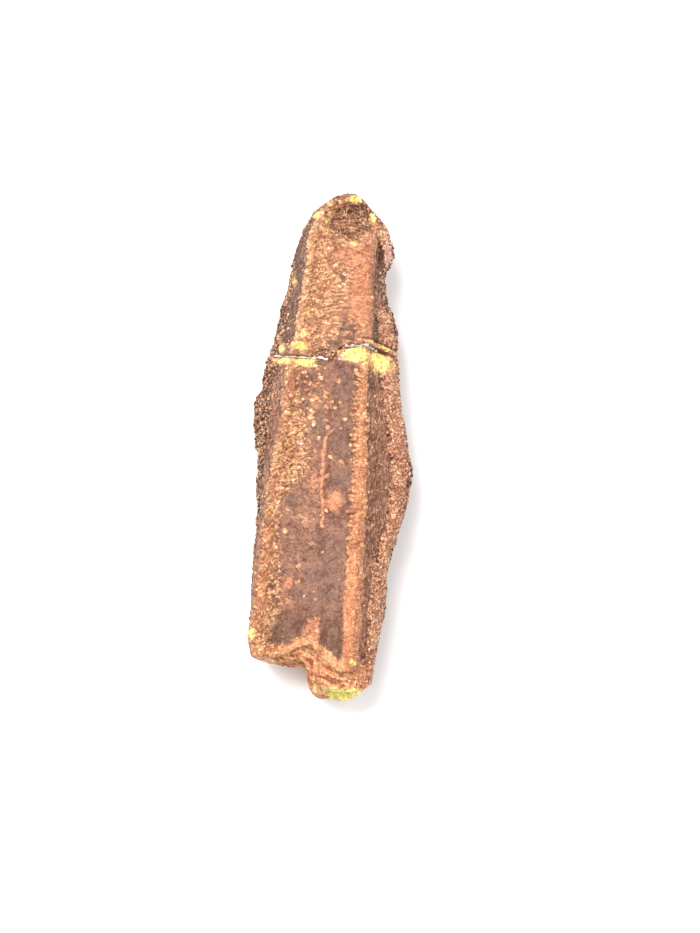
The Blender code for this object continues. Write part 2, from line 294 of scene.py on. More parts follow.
def rounded(points):
    """Rounds the edges off by a weighted average round each section, about CORNER_ROUND wide."""
    steps = np.linalg.norm(np.roll(points, -1, 1) - points, axis=2).mean(0)
    place = np.concatenate([[0], np.cumsum(steps)[:-1]])
    apart = np.abs(place[:, None] - place[None, :])
    apart = np.minimum(apart, steps.sum() - apart)
    shares = np.exp(-0.5 * (apart / CORNER_ROUND) ** 2) * (steps + np.roll(steps, 1))[None, :]
    return np.einsum("kj,sjc->skc", shares / shares.sum(1, keepdims=True), points)


def skin(y):
    """The skin as points [section, column, xyz]."""
    line_x, line_z = line_places(y)
    columns = []
    for k, (_, _, strips, bow) in enumerate(LINES):
        after = (k + 1) % len(LINES)
        dx, dz = line_x[:, after] - line_x[:, k], line_z[:, after] - line_z[:, k]
        length = np.hypot(dx, dz) + 1e-9
        small = np.clip(length / FULL_BOW, 0, 1)
        for t in np.arange(strips) / strips:
            out = bow * small * 4 * t * (1 - t)
            columns.append(np.stack([
                line_x[:, k] + dx * t - dz / length * out,
                y,
                line_z[:, k] + dz * t + dx / length * out,
            ], 1))
    return rounded(np.stack(columns, 1))


def outward(points):
    """The direction out of the tooth at each point of its skin, across the tooth."""
    along = np.roll(points, -1, 1) - np.roll(points, 1, 1)
    out = np.stack([-along[..., 2], np.zeros(along.shape[:2]), along[..., 0]], 2)
    return out / (np.linalg.norm(out, axis=2, keepdims=True) + 1e-9)


crown = skin(section_places())
print("a bare crown of", crown.shape[0] * crown.shape[1], "points")

# %% [markdown]
# ## The broken butt
# The root end broke off in steps: two ledges between the face and the back, and a step down to the right
# half, which is longer. A formula gives the end's y at each x and z. The lower skin is stretched to meet it,
# so the break needs no cutting, which would leave slivers.

# %% The end of the tooth as a function of x and z
FACE_END = ((-5.2, -15.0), (-3.3, -15.2), (-2.4, -15.0), (-1.2, -14.3), (-0.5, -14.1), (0.2, -14.7),
            (0.8, -15.2), (1.8, -15.8), (2.8, -15.75), (3.6, -15.9), (4.6, -15.4))
BACK_END_LEFT = ((-5.2, -15.1), (-4.5, -15.45), (-3.3, -15.75), (-1.7, -15.85), (4.6, -15.85))
BACK_END_RIGHT = ((-0.6, -16.6), (-0.3, -17.3), (0.1, -17.8), (0.8, BUTT_Y), (2.4, BUTT_Y), (3.1, -17.6),
                  (3.6, -17.1), (4.1, -16.6), (4.6, -15.8))
STEP_X = -0.55
STEP_SOFT = 0.22
STEP_LEAN, STEP_MIDDLE = 0.06, 4            # how the step leans over, and the height where it is at STEP_X
LEDGE_LEVELS = (6.3, 4.7)
LEDGE_SHARES = (0.7, 0.3)
LEDGE_SOFT = 0.45
BUTT_STRETCH_Y = -13.0


def butt_end(x, z):
    """The y of the broken butt: two ledges between face and back, and a step to the longer right half."""
    to_right = ease(STEP_X - STEP_SOFT, STEP_X + STEP_SOFT, x + STEP_LEAN * (z - STEP_MIDDLE))
    back = (1 - to_right) * curve_through(BACK_END_LEFT, x) + to_right * curve_through(BACK_END_RIGHT, x)
    face = curve_through(FACE_END, x)
    y = face
    for level, share in zip(LEDGE_LEVELS, LEDGE_SHARES):
        y = y + share * (back - face) * (1 - ease(level - LEDGE_SOFT, level + LEDGE_SOFT, z))
    return y


def follow_the_break(points):
    """Stretches the lower skin so that each column ends on the break."""
    x, y, z = points[..., 0], points[..., 1], points[..., 2]
    end = butt_end(x, z)
    share = np.clip((BUTT_STRETCH_Y - y) / (BUTT_STRETCH_Y - BUTT_Y), 0, None)
    points[..., 1] = np.where(share > 0, BUTT_STRETCH_Y + share * (end - BUTT_STRETCH_Y), y)
    return points


crown = follow_the_break(crown)
print("the butt ends between y", crown[0, :, 1].min().round(2), "and", crown[0, :, 1].max().round(2))

# %% [markdown]
# ## Breaks, hollows and ridges
# Everything that was broken, worn or grown into the crown is a height added along the skin's outward
# direction or a depth pressed straight down. Each is a short function of place, so the same functions also
# tell the material where a fresh break or a hollow is.

# %% The mended crack and the slanted breaks under it
CRACK_FACE = ((-6.0, 6.1), (-4.0, 6.05), (-1.2, 6.1), (-0.55, 6.0), (-0.15, 6.7), (0.5, 7.1), (1.8, 7.25),
              (2.9, 7.0), (4.3, 6.6), (6.0, 6.5))
CRACK_BACK = ((-6.0, 6.1), (-2.5, 6.7), (-0.5, 6.3), (1.5, 7.1), (4.0, 6.6), (6.0, 6.5))
CRACK_DEPTH = 0.26
CRACK_WIDTH = 0.13
LIP_RISE = 0.5
LIP_GROOVE_WIDTH = 0.09
LIP_GROOVE_DEPTH = 0.14
SLANT_LENGTH = ((-5.6, 0.3), (-4.4, 0.65), (-1.9, 0.7), (-1.1, 0.15), (-0.3, 0.1), (0.2, 1.0),
                (1.2, 1.25), (1.9, 0.9), (2.6, 1.45), (3.6, 1.5), (4.4, 0.7), (5.6, 0.3))
SLANT_DEPTH = 0.42


def crack_line(x, z):
    """The y of the mended crack, which goes all the way round."""
    on_face = ease(2.0, 6.0, z)
    return (1 - on_face) * curve_through(CRACK_BACK, x) + on_face * curve_through(CRACK_FACE, x)


def from_side(x, y):
    """How far inside the outline a place is."""
    return np.minimum(x - curve_through(LEFT_SIDE, y), curve_through(RIGHT_SIDE, y) - x)


def crack_groove(x, y, z):
    """1 at the bottom of the crack, 0 away from it."""
    return np.exp(-(((y - crack_line(x, z)) / CRACK_WIDTH) ** 2))


def lip_side(x, z):
    """1 where a strip of dentine, the lip, stands above the crack: on the right of the upper half."""
    return ease(1.2, 1.8, x) * ease(2.5, 4, z)


def lip_groove(x, y, z):
    """1 in the fine line over the lip."""
    line = (y - crack_line(x, z) - LIP_RISE) / LIP_GROOVE_WIDTH
    return np.exp(-line * line) * lip_side(x, z)


def slant(x, y, z):
    """How far down the slanted break a place is: 1 at the crack, 0 at the break's lower edge."""
    above = y - crack_line(x, z)
    length = np.maximum(curve_through(SLANT_LENGTH, x), 0.1)
    return np.clip(1 + above / length, 0, 1) * (above < 0.02) * ease(4.5, 6.0, z)


def crack_relief(x, y, z):
    """How deep the crack and the slanted break under it go in."""
    inside = from_side(x, y)
    groove = CRACK_DEPTH * crack_groove(x, y, z) * (0.45 + 0.55 * ease(0.1, 0.9, inside))
    groove += LIP_GROOVE_DEPTH * lip_groove(x, y, z)
    length = np.minimum(np.maximum(curve_through(SLANT_LENGTH, x), 0.1), 1.0)
    return groove + SLANT_DEPTH * slant(x, y, z) * length * ease(0.05, 0.7, inside)


on_top, under = (crack_line(0.0, height).round(2) for height in (LEVEL_FACE, 0.0))
print("the crack crosses the middle at y", on_top, "on the face and", under, "on the back")

# %% Hollows pressed into the face
TIP_PIT = (0.05, 16.0, 1.7, 1.6, 1.1)          # x, y, half width, half length, depth
LEFT_SCOOP = (-2.1, -13.4, 1.15, 2.0, 0.4)
RIGHT_SCOOP = (1.05, -13.9, 0.85, 2.2, 0.45)
CRACK_HOLLOW = (-1.0, 6.45, 0.85, 0.5, 0.3)
LOBE_GROOVE = (2.1, 14.1, 0.35, 1.4, 0.55)
LEFT_SLIT = (-2.95, 13.5, 0.3, 1.9, 0.3)
HOLLOWS = (TIP_PIT, LEFT_SCOOP, RIGHT_SCOOP, CRACK_HOLLOW, LOBE_GROOVE, LEFT_SLIT)
PIT_RIM_HEIGHT = 0.3
PIT_RIM_AT, PIT_RIM_WIDTH = 1.2, 0.22           # in reaches of the pit, which is 1 at its edge


def reach_from(hollow, x, y):
    """How far each point is from a hollow's middle: 1 at its edge, which is a little uneven."""
    cx, cy, half_width, half_length = hollow[:4]
    across, along = (x - cx) / half_width, (y - cy) / half_length
    turn = np.arctan2(along, across)
    return np.hypot(across, along) * (1 + 0.08 * np.sin(3 * turn + 1) + 0.05 * np.sin(5 * turn))


def hollow_relief(x, y, z):
    """How deep the hollows in the face go down, less the rim that stands round the pit in the tip."""
    depth = np.zeros(x.shape)
    for hollow in HOLLOWS:
        depth += hollow[-1] * (1 - ease(0.45, 1.1, reach_from(hollow, x, y)))
    rim = (reach_from(TIP_PIT, x, y) - PIT_RIM_AT) / PIT_RIM_WIDTH
    depth -= PIT_RIM_HEIGHT * np.exp(-rim * rim)
    return depth * ease(3.2, 5.2, z)


print("hollows up to", max(hollow[-1] for hollow in HOLLOWS), "mm deep")

# %% Ridges raised on the face
RAISED = (  # line, half width, height, from y, to y
    (THREAD, 0.2, 0.12, -5.2, 1.0),
    (MIDDLE_RIDGE, 0.22, 0.08, 2.4, 5.0),
    (MIDDLE_RIDGE, 0.45, 0.3, -14.2, -11.0),
    (LEFT_MARGIN, 0.5, 0.14, -14.5, 15.5),
    (RIGHT_MARGIN, 0.45, 0.16, -15.2, 15.0),
)
RIDGE_FADE = 0.8


def ridge_relief(x, y, z):
    """How far the margins and the middle ridge stand up."""
    height = np.zeros(x.shape)
    for line, half_width, tall, low, high in RAISED:
        beside = (x - curve_through(line, y)) / half_width
        length = between(low - RIDGE_FADE, low + RIDGE_FADE, high - RIDGE_FADE, high + RIDGE_FADE, y)
        height += tall * np.exp(-beside * beside) * length
    return height * ease(5.0, 6.5, z)


print("ridges up to", max(tall for _, _, tall, _, _ in RAISED), "mm high")

# %% Lumps, and all of it put on the skin
TIP_FADE = 1.2                  # millimetres over which the relief dies out towards the tip
LUMP_HEIGHT, LUMP_SIZE = 0.16, 2.1
GRAIN_HEIGHT, GRAIN_SIZE = 0.07, 0.75
FIRST_GRAIN_AT = 40


def lumps(points, height, size):
    """Uneven rock-like relief, the same each time."""
    flat = points.reshape(-1, 3) / size
    made = np.array([noise.fractal(Vector(p), 1.0, 2.0, 3) for p in flat])
    return height * made.reshape(points.shape[:-1])


def weathered(points):
    """The skin with its breaks, ridges and rough surface. The back facet stays flat on the floor."""
    x, y, z = (points[..., k].copy() for k in range(3))
    rough = lumps(points, LUMP_HEIGHT, LUMP_SIZE) + lumps(points + FIRST_GRAIN_AT, GRAIN_HEIGHT, GRAIN_SIZE)
    push = ridge_relief(x, y, z) - crack_relief(x, y, z) * ease(0.0, 0.6, z) + rough * ease(0.0, 0.9, z)
    closing = np.clip((TIP_Y - y) / TIP_FADE, 0.1, 1)
    points = points + outward(points) * (push * closing)[..., None]
    points[..., 2] = np.maximum(points[..., 2] - hollow_relief(x, y, z) * closing, 0)
    return points


bare = crown
crown = weathered(crown)
print("relief up to", np.abs(crown - bare).max().round(2), "mm")

# %% [markdown]
# ## Where each finish belongs
# Enamel, worn margin, broken dentine and the grainy flanks each look different, and they keep to places that
# the lines above already name. So each zone is worked out once, point by point, as a number from 0 to 1, and
# goes into the mesh as an attribute that both the relief and the colours read. Painting a picture would also
# do, but it would say nothing about why a colour is where it is.

# %% The worn bands along the margins, and the flanks
# The left band's width, and how far from the edge line it begins.
LEFT_BAND = ((-16, 2.2), (-13, 1.9), (-10, 1.25), (-8, 0.95), (-6, 0.65), (-4.5, 0.65), (-3, 1.4),
             (-1.7, 1.8), (0, 1.6), (1.5, 1.3), (2.6, 0.7), (5, 0.5), (6, 0.6), (7, 1.5), (10, 1.9),
             (15, 1.7))
LEFT_START = ((-16, 0), (-5, 0), (-3, -0.25), (5, -0.25), (6.5, 0.35), (15, 0.45))
RIGHT_BAND = ((-16, 0.68), (-10, 0.66), (-4, 0.56), (0, 0.4), (2, 0.27), (5, 0.2), (8, 0.2), (14, 0.25))
bx, by, bz = (bare[..., k] for k in range(3))
column = np.arange(crown.shape[1])
FACE_COLUMNS = LINES[0][2] + LINES[1][2]
on_face = ease(-3, 1, np.minimum(column, FACE_COLUMNS - column))
on_face = np.maximum(on_face, ease(len(column) - 3, len(column), column))[None, :] * np.ones(by.shape)
past_left = bx - curve_through(LEFT_MARGIN, by)
past_right = bx - curve_through(RIGHT_MARGIN, by)
top_side = ease(5.2, 6.4, bz)
left_band = ease(-0.2, 0.2, past_left - curve_through(LEFT_START, by)) * np.clip(
    1.35 - 0.85 * past_left / curve_through(LEFT_BAND, by), 0, 1)
right_band = 1 - ease(0.6, 1.2, np.abs(past_right) / curve_through(RIGHT_BAND, by))
low_left_band = (1 - ease(0.3, 0.8, np.abs(past_left - 0.5))) * (1 - ease(-6.0, -4.0, by))
low_left_edge = (1 - ease(0.1, 0.5, np.abs(past_left - 0.35))) * (1 - ease(-6.4, -5.0, by))
outer_band = 1 - ease(0.2, 0.95, np.abs(bx - curve_through(OUTER_RIDGE, by)))
outer_band = outer_band * (1 - 0.85 * between(9.4, 10.4, 13.8, 14.8, by))
high = ease(-4.6, -3.4, bz - curve_through(FACE_LEVEL, by))
first_column = np.cumsum([0] + [line[2] for line in LINES])
right_bevel = (column >= first_column[2]) & (column < first_column[3])
left_share = (column - first_column[7]) / LINES[7][2]
zones = {
    "face": on_face,
    "margin": np.maximum(left_band, 0.9 * low_left_band) * top_side,
    "ribbed": np.maximum(right_band, 0.75 * low_left_edge) * top_side,
    "outer": outer_band * high * (1 - on_face),
    "bevel": np.maximum(right_bevel * (1 - outer_band), ease(0.35, 0.6, left_share) * np.ones(by.shape)),
}
zones["dusky"] = zones["bevel"] * ease(6.2, 7.2, by)
# The lower flanks, painted darker as shade and with a streaked speckle of their own.
zones["low"] = (1 - ease(2.0, 4.6, bz)) * (1 - on_face)
print("the worn margins cover", f"{zones['margin'].mean():.1%}", "of the skin's points")

# %% Chips, stains and smears
FRESH_SPOTS = (  # x, y, half width, half length, strength: pale yellow chips
    (0.25, 17.6, 0.55, 0.36, 0.9), (-2.3, 16.2, 0.36, 0.34, 0.8), (-1.65, 15.9, 0.25, 0.25, 0.7),
    (-1.6, 15.1, 0.22, 0.18, 0.6), (1.5, 16.35, 0.32, 0.45, 0.75), (0.35, 14.35, 0.38, 0.2, 0.55),
    (-4.35, 6.6, 0.5, 0.38, 0.8), (-2.85, 6.85, 0.75, 0.35, 0.75), (-4.5, -13.65, 0.18, 0.42, 0.85),
    (2.6, -15.0, 0.22, 0.6, 0.7), (-2.66, 7.75, 0.35, 0.45, 0.65), (-2.5, 9.2, 0.25, 0.4, 0.5),
    (-3.53, 11.5, 0.2, 0.55, 0.55), (2.2, 15.3, 0.3, 0.3, 0.55),
)
SLANT_SPOTS = (  # the same on the slanted break, which ends at the crack
    (2.95, 6.15, 1.15, 0.85), (1.15, 6.55, 0.85, 0.6), (-4.0, 5.75, 0.9, 0.32, 0.8),
    (-2.4, 5.75, 1.0, 0.36, 0.75),
)
STAINS = {  # orange, pinkish and lightly worn, bluish grey, and small whitish spots that are painted highlights
    "warm": (
        (0.34, -3.95, 0.68, 0.75, 1), (-1.48, -5.4, 0.25, 0.5, 0.65), (1.15, 11.2, 1.0, 3.7, 0.6),
        (1.3, 10.4, 0.5, 2.4, 0.9), (0.35, 13.5, 1.5, 0.8, 0.7), (-0.45, -13.1, 0.62, 1.0, 0.85),
        (0.5, -14.9, 0.6, 0.6, 0.8), (-3.15, 4.0, 0.25, 1.2, 0.9), (-2.4, -9.9, 0.4, 0.4, 0.6),
        (-2.2, -11.4, 0.6, 0.5, 0.6), (-1.0, -2.6, 0.8, 0.9, 0.25)),
    "pale": ((3.15, 14.1, 0.62, 1.9), (4.2, 7.6, 0.4, 1.8), (0.25, 6.3, 0.35, 0.4)),
    "grey": (
        (0.1, -9.6, 1.7, 4.2, 0.75), (0.6, 8.5, 0.8, 1.5), (-0.25, 11.9, 0.35, 0.8), (0.6, 4.3, 0.9, 1.3),
        (0.5, 0.6, 0.8, 1.6), (0.8, -2.3, 0.9, 0.9), (-3.35, 13.6, 0.35, 2.0), (-1.2, 1.2, 0.9, 1.5),
        (-0.4, 7.3, 0.7, 0.6), (-2.9, -4.0, 0.7, 0.6), (-3.0, -6.4, 0.5, 0.6), (1.6, -14.6, 0.4, 0.6)),
    # The glue spots are small whitish painted highlights.
    "glue": (
        (-0.1, -13.1, 0.14, 0.09), (1.22, -9.35, 0.08, 0.08), (-1.15, -10.7, 0.09, 0.08),
        (-2.27, 0.0, 0.24, 0.14), (-2.55, -2.6, 0.16, 0.18), (1.5, 2.2, 0.26, 0.2), (-1.35, 1.4, 0.1, 0.1)),
}


def spots(marks, x, y):
    """1 in the middle of any of these spots, 0 outside them all."""
    found = np.zeros(x.shape)
    for mark in marks:
        strength = mark[4] if len(mark) > 4 else 1
        found = np.maximum(found, strength * (1 - ease(0.35, 1.35, reach_from(mark, x, y))))
    return found


upward = ease(4.2, 5.6, bz)
for name, marks in STAINS.items():
    zones[name] = spots(marks, bx, by) * upward
print("spots of each stain:", {name: len(marks) for name, marks in STAINS.items()})

# %% Fresh breaks, hollows, the crack and the thread
near_top = 1 - ease(2.0, 3.6, curve_through(FACE_LEVEL, by) - bz)
slanted = 0.45 * ease(0.0, 0.3, slant(bx, by, bz)) * ease(0.2, 0.6, curve_through(SLANT_LENGTH, bx))
over_crack = by - crack_line(bx, bz)
below_crack = 1 - ease(-0.05, 0.1, over_crack)
lip = between(0.05, 0.15, 0.38, 0.48, over_crack) * lip_side(bx, bz)
zones["fresh"] = np.maximum.reduce([
    slanted, 0.45 * lip, spots(FRESH_SPOTS, bx, by) * near_top,
    spots(SLANT_SPOTS, bx, by) * near_top * below_crack])
zones["pit"] = np.maximum.reduce([
    (1 - ease(0.5, 1.15, reach_from(hollow, bx, by))) * upward * depth
    for hollow, depth in ((TIP_PIT, 1.0), (LOBE_GROOVE, 0.6), (LEFT_SLIT, 0.5), (CRACK_HOLLOW, 0.95))
])
zones["scoop"] = 0.85 * np.maximum.reduce([
    (1 - ease(0.1, 1.6, reach_from(hollow, bx, by))) * upward for hollow in (LEFT_SCOOP, RIGHT_SCOOP)
])
zones["rim"] = np.maximum((1 - ease(0.35, 1.15, by - curve_through(FACE_END, bx))) * top_side, lip)
zones["crack"] = np.maximum(crack_groove(bx, by, bz) ** 2, 0.75 * lip_groove(bx, by, bz))
zones["upper"] = ease(-0.1, 0.1, over_crack) * on_face
thread = 1 - ease(0.04, 0.17, np.abs(bx - curve_through(THREAD, by)))
thread = thread * between(-6.2, -5.2, 0.2, 1.8, by) * on_face
zones["warm"] = np.maximum(zones["warm"], 0.62 * thread)
print("fresh breaks cover", f"{zones['fresh'].mean():.1%}")

# %% How thickly the beads and the crust grow
BEADS_ALONG = (  # y, then how many by the left margin, left of the middle, right of it and at the right
    (-16, 0.5, 0.0, 0.0, 0.03), (-9, 0.55, 0.03, 0.0, 0.03), (-5, 0.6, 0.06, 0.01, 0.06),
    (-2, 0.8, 0.05, 0.01, 0.15), (0, 0.9, 0.16, 0.04, 0.3), (2, 0.8, 0.3, 0.1, 0.4),
    (5, 0.4, 0.25, 0.12, 0.4), (6.5, 0.5, 0.35, 0.12, 0.2), (8, 0.5, 0.3, 0.1, 0.15),
    (11, 0.4, 0.2, 0.06, 0.2), (14, 0.5, 0.2, 0.1, 0.3), (18, 0.6, 0.3, 0.2, 0.4),
)
beads_at = [curve_through([(row[0], row[k]) for row in BEADS_ALONG], by) for k in range(1, 5)]
across_left = ease(0.4, 1.0, past_left / np.maximum(curve_through(LEFT_BAND, by), 0.5))
middle_side = ease(-0.6, 0.6, bx - curve_through(MIDDLE_RIDGE, by))
near_right = 1 - ease(0.35, 1.0, np.abs(past_right))
thickness = (1 - middle_side) * ((1 - across_left) * beads_at[0] + across_left * beads_at[1])
thickness += middle_side * ((1 - near_right) * beads_at[2] + near_right * beads_at[3])
hurt = np.maximum.reduce([
    zones["fresh"], zones["pit"], zones["scoop"] * 0.9, ease(0.1, 0.4, zones["crack"]), 0.8 * lip])
hurt = np.maximum(ease(0.2, 0.6, hurt), ease(0.3, 0.7, zones["warm"]) * 0.8)
zones["beads"] = thickness * on_face * (1 - hurt)
zones["crust"] = (1 - on_face) * (1 - 0.75 * zones["bevel"]) * (1 - hurt) * ease(0.3, 0.8, bz)
print("zones:", ", ".join(f"{name} {value.mean():.3f}" for name, value in zones.items()))

# %% [markdown]
# ## The mesh
# The sections are joined by quads, and the butt is closed by rings that shrink to a point, each set on the
# break. The texture map follows the loft: once round the tooth is the width and along it is the height, so
# the columns that are closest together, on the enamel face, get the most of it. The butt has a corner of its
# own.

# %% Closing the butt
BUTT_RINGS = 44
BUTT_MIDDLE = (1.2, 2.8)
BREAK_GRAIN_HEIGHT, BREAK_GRAIN_SIZE = 0.13, 0.9
BREAK_LAYER_HEIGHT, BREAK_LAYER_SIZE = 0.09, 0.32       # thin layers that cross the break as lines
FADE_RINGS = 4                  # rings over which the grain of the break sets in


def butt_rings(rim):
    """Rings that shrink from the butt's rim to one point, each on the break and with the grain of it."""
    middle = np.array([BUTT_MIDDLE[0], 0, BUTT_MIDDLE[1]])
    rings = [middle + (rim - middle) * (1 - k / BUTT_RINGS) for k in range(1, BUTT_RINGS)] + [middle[None]]
    for k, ring in enumerate(rings):
        fade = min(1, (k + 1) / FADE_RINGS)
        ring[:, 1] = butt_end(ring[:, 0], ring[:, 2])
        ring[:, 1] += fade * lumps(ring * (1, 0, 1), BREAK_GRAIN_HEIGHT, BREAK_GRAIN_SIZE)
        ring[:, 1] += fade * lumps(ring * (0.25, 0, 1), BREAK_LAYER_HEIGHT, BREAK_LAYER_SIZE)
    return rings


def break_zones(points):
    """The zones on the butt: bare dentine, a fresh yellow chip at its lowest edge, painted shadow above it.
    """
    x, y, z = points.T
    across = between(-0.4, 0.3, 3.0, 3.8, x)
    return {
        "butt": np.ones(len(x)),
        "fresh": ease(16.9, 17.25, -y) * across * (0.35 + 0.65 * ease(0.8, 1.5, x)) * ease(1.8, 3.4, z),
        # A dark line just above the chip, kept in the pit zone, is painted shadow under the ledge.
        "pit": 0.9 * np.exp(-(((y + 16.85) / 0.14) ** 2)) * across,
        "rim": ease(7.0, 8.0, z),
    }


print("the butt is closed by", BUTT_RINGS, "rings")

# %% The texture map
MAP_EDGE = 0.004
SKIN_MAP_WIDTH = 0.74
BUTT_MAP_SCALE = 0.021          # of the map per millimetre
BUTT_MAP_CORNER = (0.755, 0.01)
TIP_MAP_HEIGHT = 0.003


def map_places(sections, columns, butt):
    """The map coordinates of the skin's grid, one column more than it has, and of the butt's points."""
    across = np.linspace(MAP_EDGE, SKIN_MAP_WIDTH, columns + 1)
    u, v = np.meshgrid(across, np.linspace(MAP_EDGE, 1 - MAP_EDGE, sections))
    low = butt.min(0)
    on_butt = (butt[:, [0, 2]] - low[[0, 2]]) * BUTT_MAP_SCALE + BUTT_MAP_CORNER
    return np.stack([u, v], 2), on_butt


def add_map(mesh, points, butt_points, skin_faces, tip_faces):
    """Writes the texture map, face corner by face corner."""
    sections, columns = points.shape[:2]
    on_skin, on_butt = map_places(sections, columns, butt_points)
    corner_vertex = np.empty(len(mesh.loops), np.int32)
    mesh.loops.foreach_get("vertex_index", corner_vertex)
    starts = np.empty(len(mesh.polygons), np.int32)
    mesh.polygons.foreach_get("loop_start", starts)
    uv = np.zeros((len(mesh.loops), 2))
    skin_corners = np.arange(starts[skin_faces])
    row, col = divmod(corner_vertex[skin_corners], columns)
    wraps = (skin_corners // 4) % columns == columns - 1
    col = np.where(wraps & (col == 0), columns, col)
    uv[skin_corners] = on_skin[row, col]
    tip_start = starts[len(mesh.polygons) - tip_faces]
    butt_corners = np.arange(starts[skin_faces], tip_start)
    vertex = corner_vertex[butt_corners]
    uv[butt_corners] = on_butt[np.where(vertex < columns, vertex, vertex - (sections - 1) * columns)]
    for k in range(tip_faces):
        at = tip_start + 3 * k
        left, right = on_skin[-1, k], on_skin[-1, k + 1]
        uv[at:at + 3] = left, right, (left + right) / 2 + (0, TIP_MAP_HEIGHT)
    layer = mesh.uv_layers.new(name="OFBake")
    layer.data.foreach_set("uv", uv.astype(np.float32).ravel())


print("the skin takes", SKIN_MAP_WIDTH - MAP_EDGE, "of the map's width")

# %% Joining it all up
def grid_faces(rows, columns, start):
    """Quads between rings of vertices that are numbered on from start."""
    k = np.arange(columns)
    ring = np.stack([k, (k + 1) % columns, (k + 1) % columns + columns, k + columns], 1)
    return (start + ring[None] + (np.arange(rows - 1) * columns)[:, None, None]).reshape(-1, 4)


def tooth_mesh(points, rings):
    """One closed mesh, with its map and its zones."""
    sections, columns = points.shape[:2]
    tip = points[-1].mean(0)
    inner = np.concatenate(rings[:-1])
    middle = rings[-1][0]
    everything = np.concatenate([points.reshape(-1, 3), inner, [middle, tip]])
    butt_start = sections * columns
    last_ring = butt_start + len(inner) - columns
    skin_quads = grid_faces(sections, columns, 0)
    rim = np.arange(columns)
    after = (rim + 1) % columns
    first_butt = np.stack([rim, butt_start + rim, butt_start + after, after], 1)
    butt_quads = grid_faces(len(rings) - 1, columns, butt_start)[:, ::-1]
    middle_fan = np.stack([last_ring + after, last_ring + rim, np.full(columns, len(everything) - 2)], 1)
    tip_fan = np.stack([butt_start - columns + rim, butt_start - columns + after,
                        np.full(columns, len(everything) - 1)], 1)
    faces = [*skin_quads.tolist(), *first_butt.tolist(), *butt_quads.tolist(), *middle_fan[:, ::-1].tolist(),
             *tip_fan.tolist()]
    made = bpy.data.meshes.new("tooth_skin")
    made.from_pydata((everything * MM).tolist(), [], faces)
    add_map(made, points, np.concatenate([points[0], inner, [middle]]), len(skin_quads), len(tip_fan))
    on_break = break_zones(everything[butt_start:-1])
    for name in sorted({*zones, *on_break}):
        value = zones.get(name, np.zeros(points.shape[:2]))
        on_butt = on_break.get(name, np.zeros(len(inner) + 1))
        spread = np.concatenate([value.ravel(), on_butt, [value[-1].mean()]])
        made.attributes.new(name, "FLOAT", "POINT").data.foreach_set("value", spread.astype(np.float32))
    made.shade_smooth()
    return made


rings = butt_rings(crown[0])
tooth = place_in_scene("tooth_surface", tooth_mesh(crown, rings))
print("a mesh of", len(tooth.data.polygons), "faces, valid:", not tooth.data.validate())

# %% [markdown]
# ## Sums that become nodes
# Relief and colour both come from node trees. Drawn by hand they turn into a knot of boxes, so here a wire
# that leaves a node is an object in Python, and adding or multiplying wires puts down the Math nodes for it.
# Every other kind of node comes from one method. The same class serves Geometry Nodes and materials.

# %% A wire that does sums
class Wire:
    """One output of a node. Sums on it add the nodes that work them out."""

    def __init__(self, tree, socket=None):
        self.tree, self.socket = tree, socket

    def node(self, kind, settings=None, sockets=None, output=0):
        """Adds a node of any kind: first its settings, then a value or a wire for each socket named."""
        made = self.tree.nodes.new(kind)
        for name, value in (settings or {}).items():
            setattr(made, name, value)
        for name, value in (sockets or {}).items():
            if isinstance(value, Wire):
                self.tree.links.new(value.socket, made.inputs[name])
            else:
                made.inputs[name].default_value = value
        return Wire(self.tree, made.outputs[output]) if made.outputs else None

    def also(self, output):
        """Another output of the same node."""
        return Wire(self.tree, self.socket.node.outputs[output])

    def sum(self, operation, *values):
        """Math on numbers, or Vector Math as soon as one of the values is a vector."""
        vector = any(isinstance(v, tuple) or isinstance(v, Wire) and v.socket.type in ("VECTOR", "RGBA")
                     for v in values)
        if vector:
            values = [(v, v, v) if isinstance(v, (int, float)) else v for v in values]
        kind = "ShaderNodeVectorMath" if vector else "ShaderNodeMath"
        return self.node(kind, {"operation": operation}, dict(enumerate(values)))

    def most(self, other):
        """The larger of two values."""
        return self.sum("MAXIMUM", self, other)

    def step(self, low, high):
        """0 below low, 1 above high, and a soft S between them."""
        return self.node("ShaderNodeMapRange", {"interpolation_type": "SMOOTHSTEP"},
                         {"Value": self, "From Min": low, "From Max": high})

    def choose(self, off, on):
        """A number: off where this wire is 0, on where it is 1."""
        return self.node("ShaderNodeMix", {"data_type": "FLOAT"}, {0: self, 2: off, 3: on})

    def tint(self, off, on):
        """A colour: off where this wire is 0, on where it is 1."""
        return self.node("ShaderNodeMix", {"data_type": "RGBA"}, {0: self, 6: off, 7: on}, 2)

    def cloud(self, size, detail=2.0, roughness=0.5):
        """Soft noise from 0 to 1, with lumps of about this size in the wire's own unit."""
        return self.node("ShaderNodeTexNoise", {}, {"Vector": self, "Scale": 1 / size, "Detail": detail,
                                                    "Roughness": roughness})

    def cells(self, size, output="Distance"):
        """The distance to the nearest of many scattered points, or that point's own random colour."""
        return self.node("ShaderNodeTexVoronoi", {}, {"Vector": self, "Scale": 1 / size}, output)

    def stray(self, scale):
        """A vector that drifts from place to place, up to about half a unit each way."""
        return self.node("ShaderNodeTexNoise", {}, {"Vector": self, "Scale": scale}, "Color") - 0.5

    def part(self, axis):
        """The x, y or z of a vector, as axis 0, 1 or 2."""
        return self.node("ShaderNodeSeparateXYZ", {}, {0: self}, axis)

    def xyz(self, x=0.0, y=0.0, z=0.0):
        """A vector put together from three numbers or wires."""
        return self.node("ShaderNodeCombineXYZ", {}, {0: x, 1: y, 2: z})

print("a wire knows", ", ".join(name for name in vars(Wire) if not name.startswith("_")))

# %% Plus, minus, times and over
SIGNS = {"add": "ADD", "sub": "SUBTRACT", "mul": "MULTIPLY", "truediv": "DIVIDE"}


def both_ways(operation):
    """What a wire does with a value on its right, and with one on its left."""
    return (lambda wire, other: wire.sum(operation, wire, other),
            lambda wire, other: wire.sum(operation, other, wire))


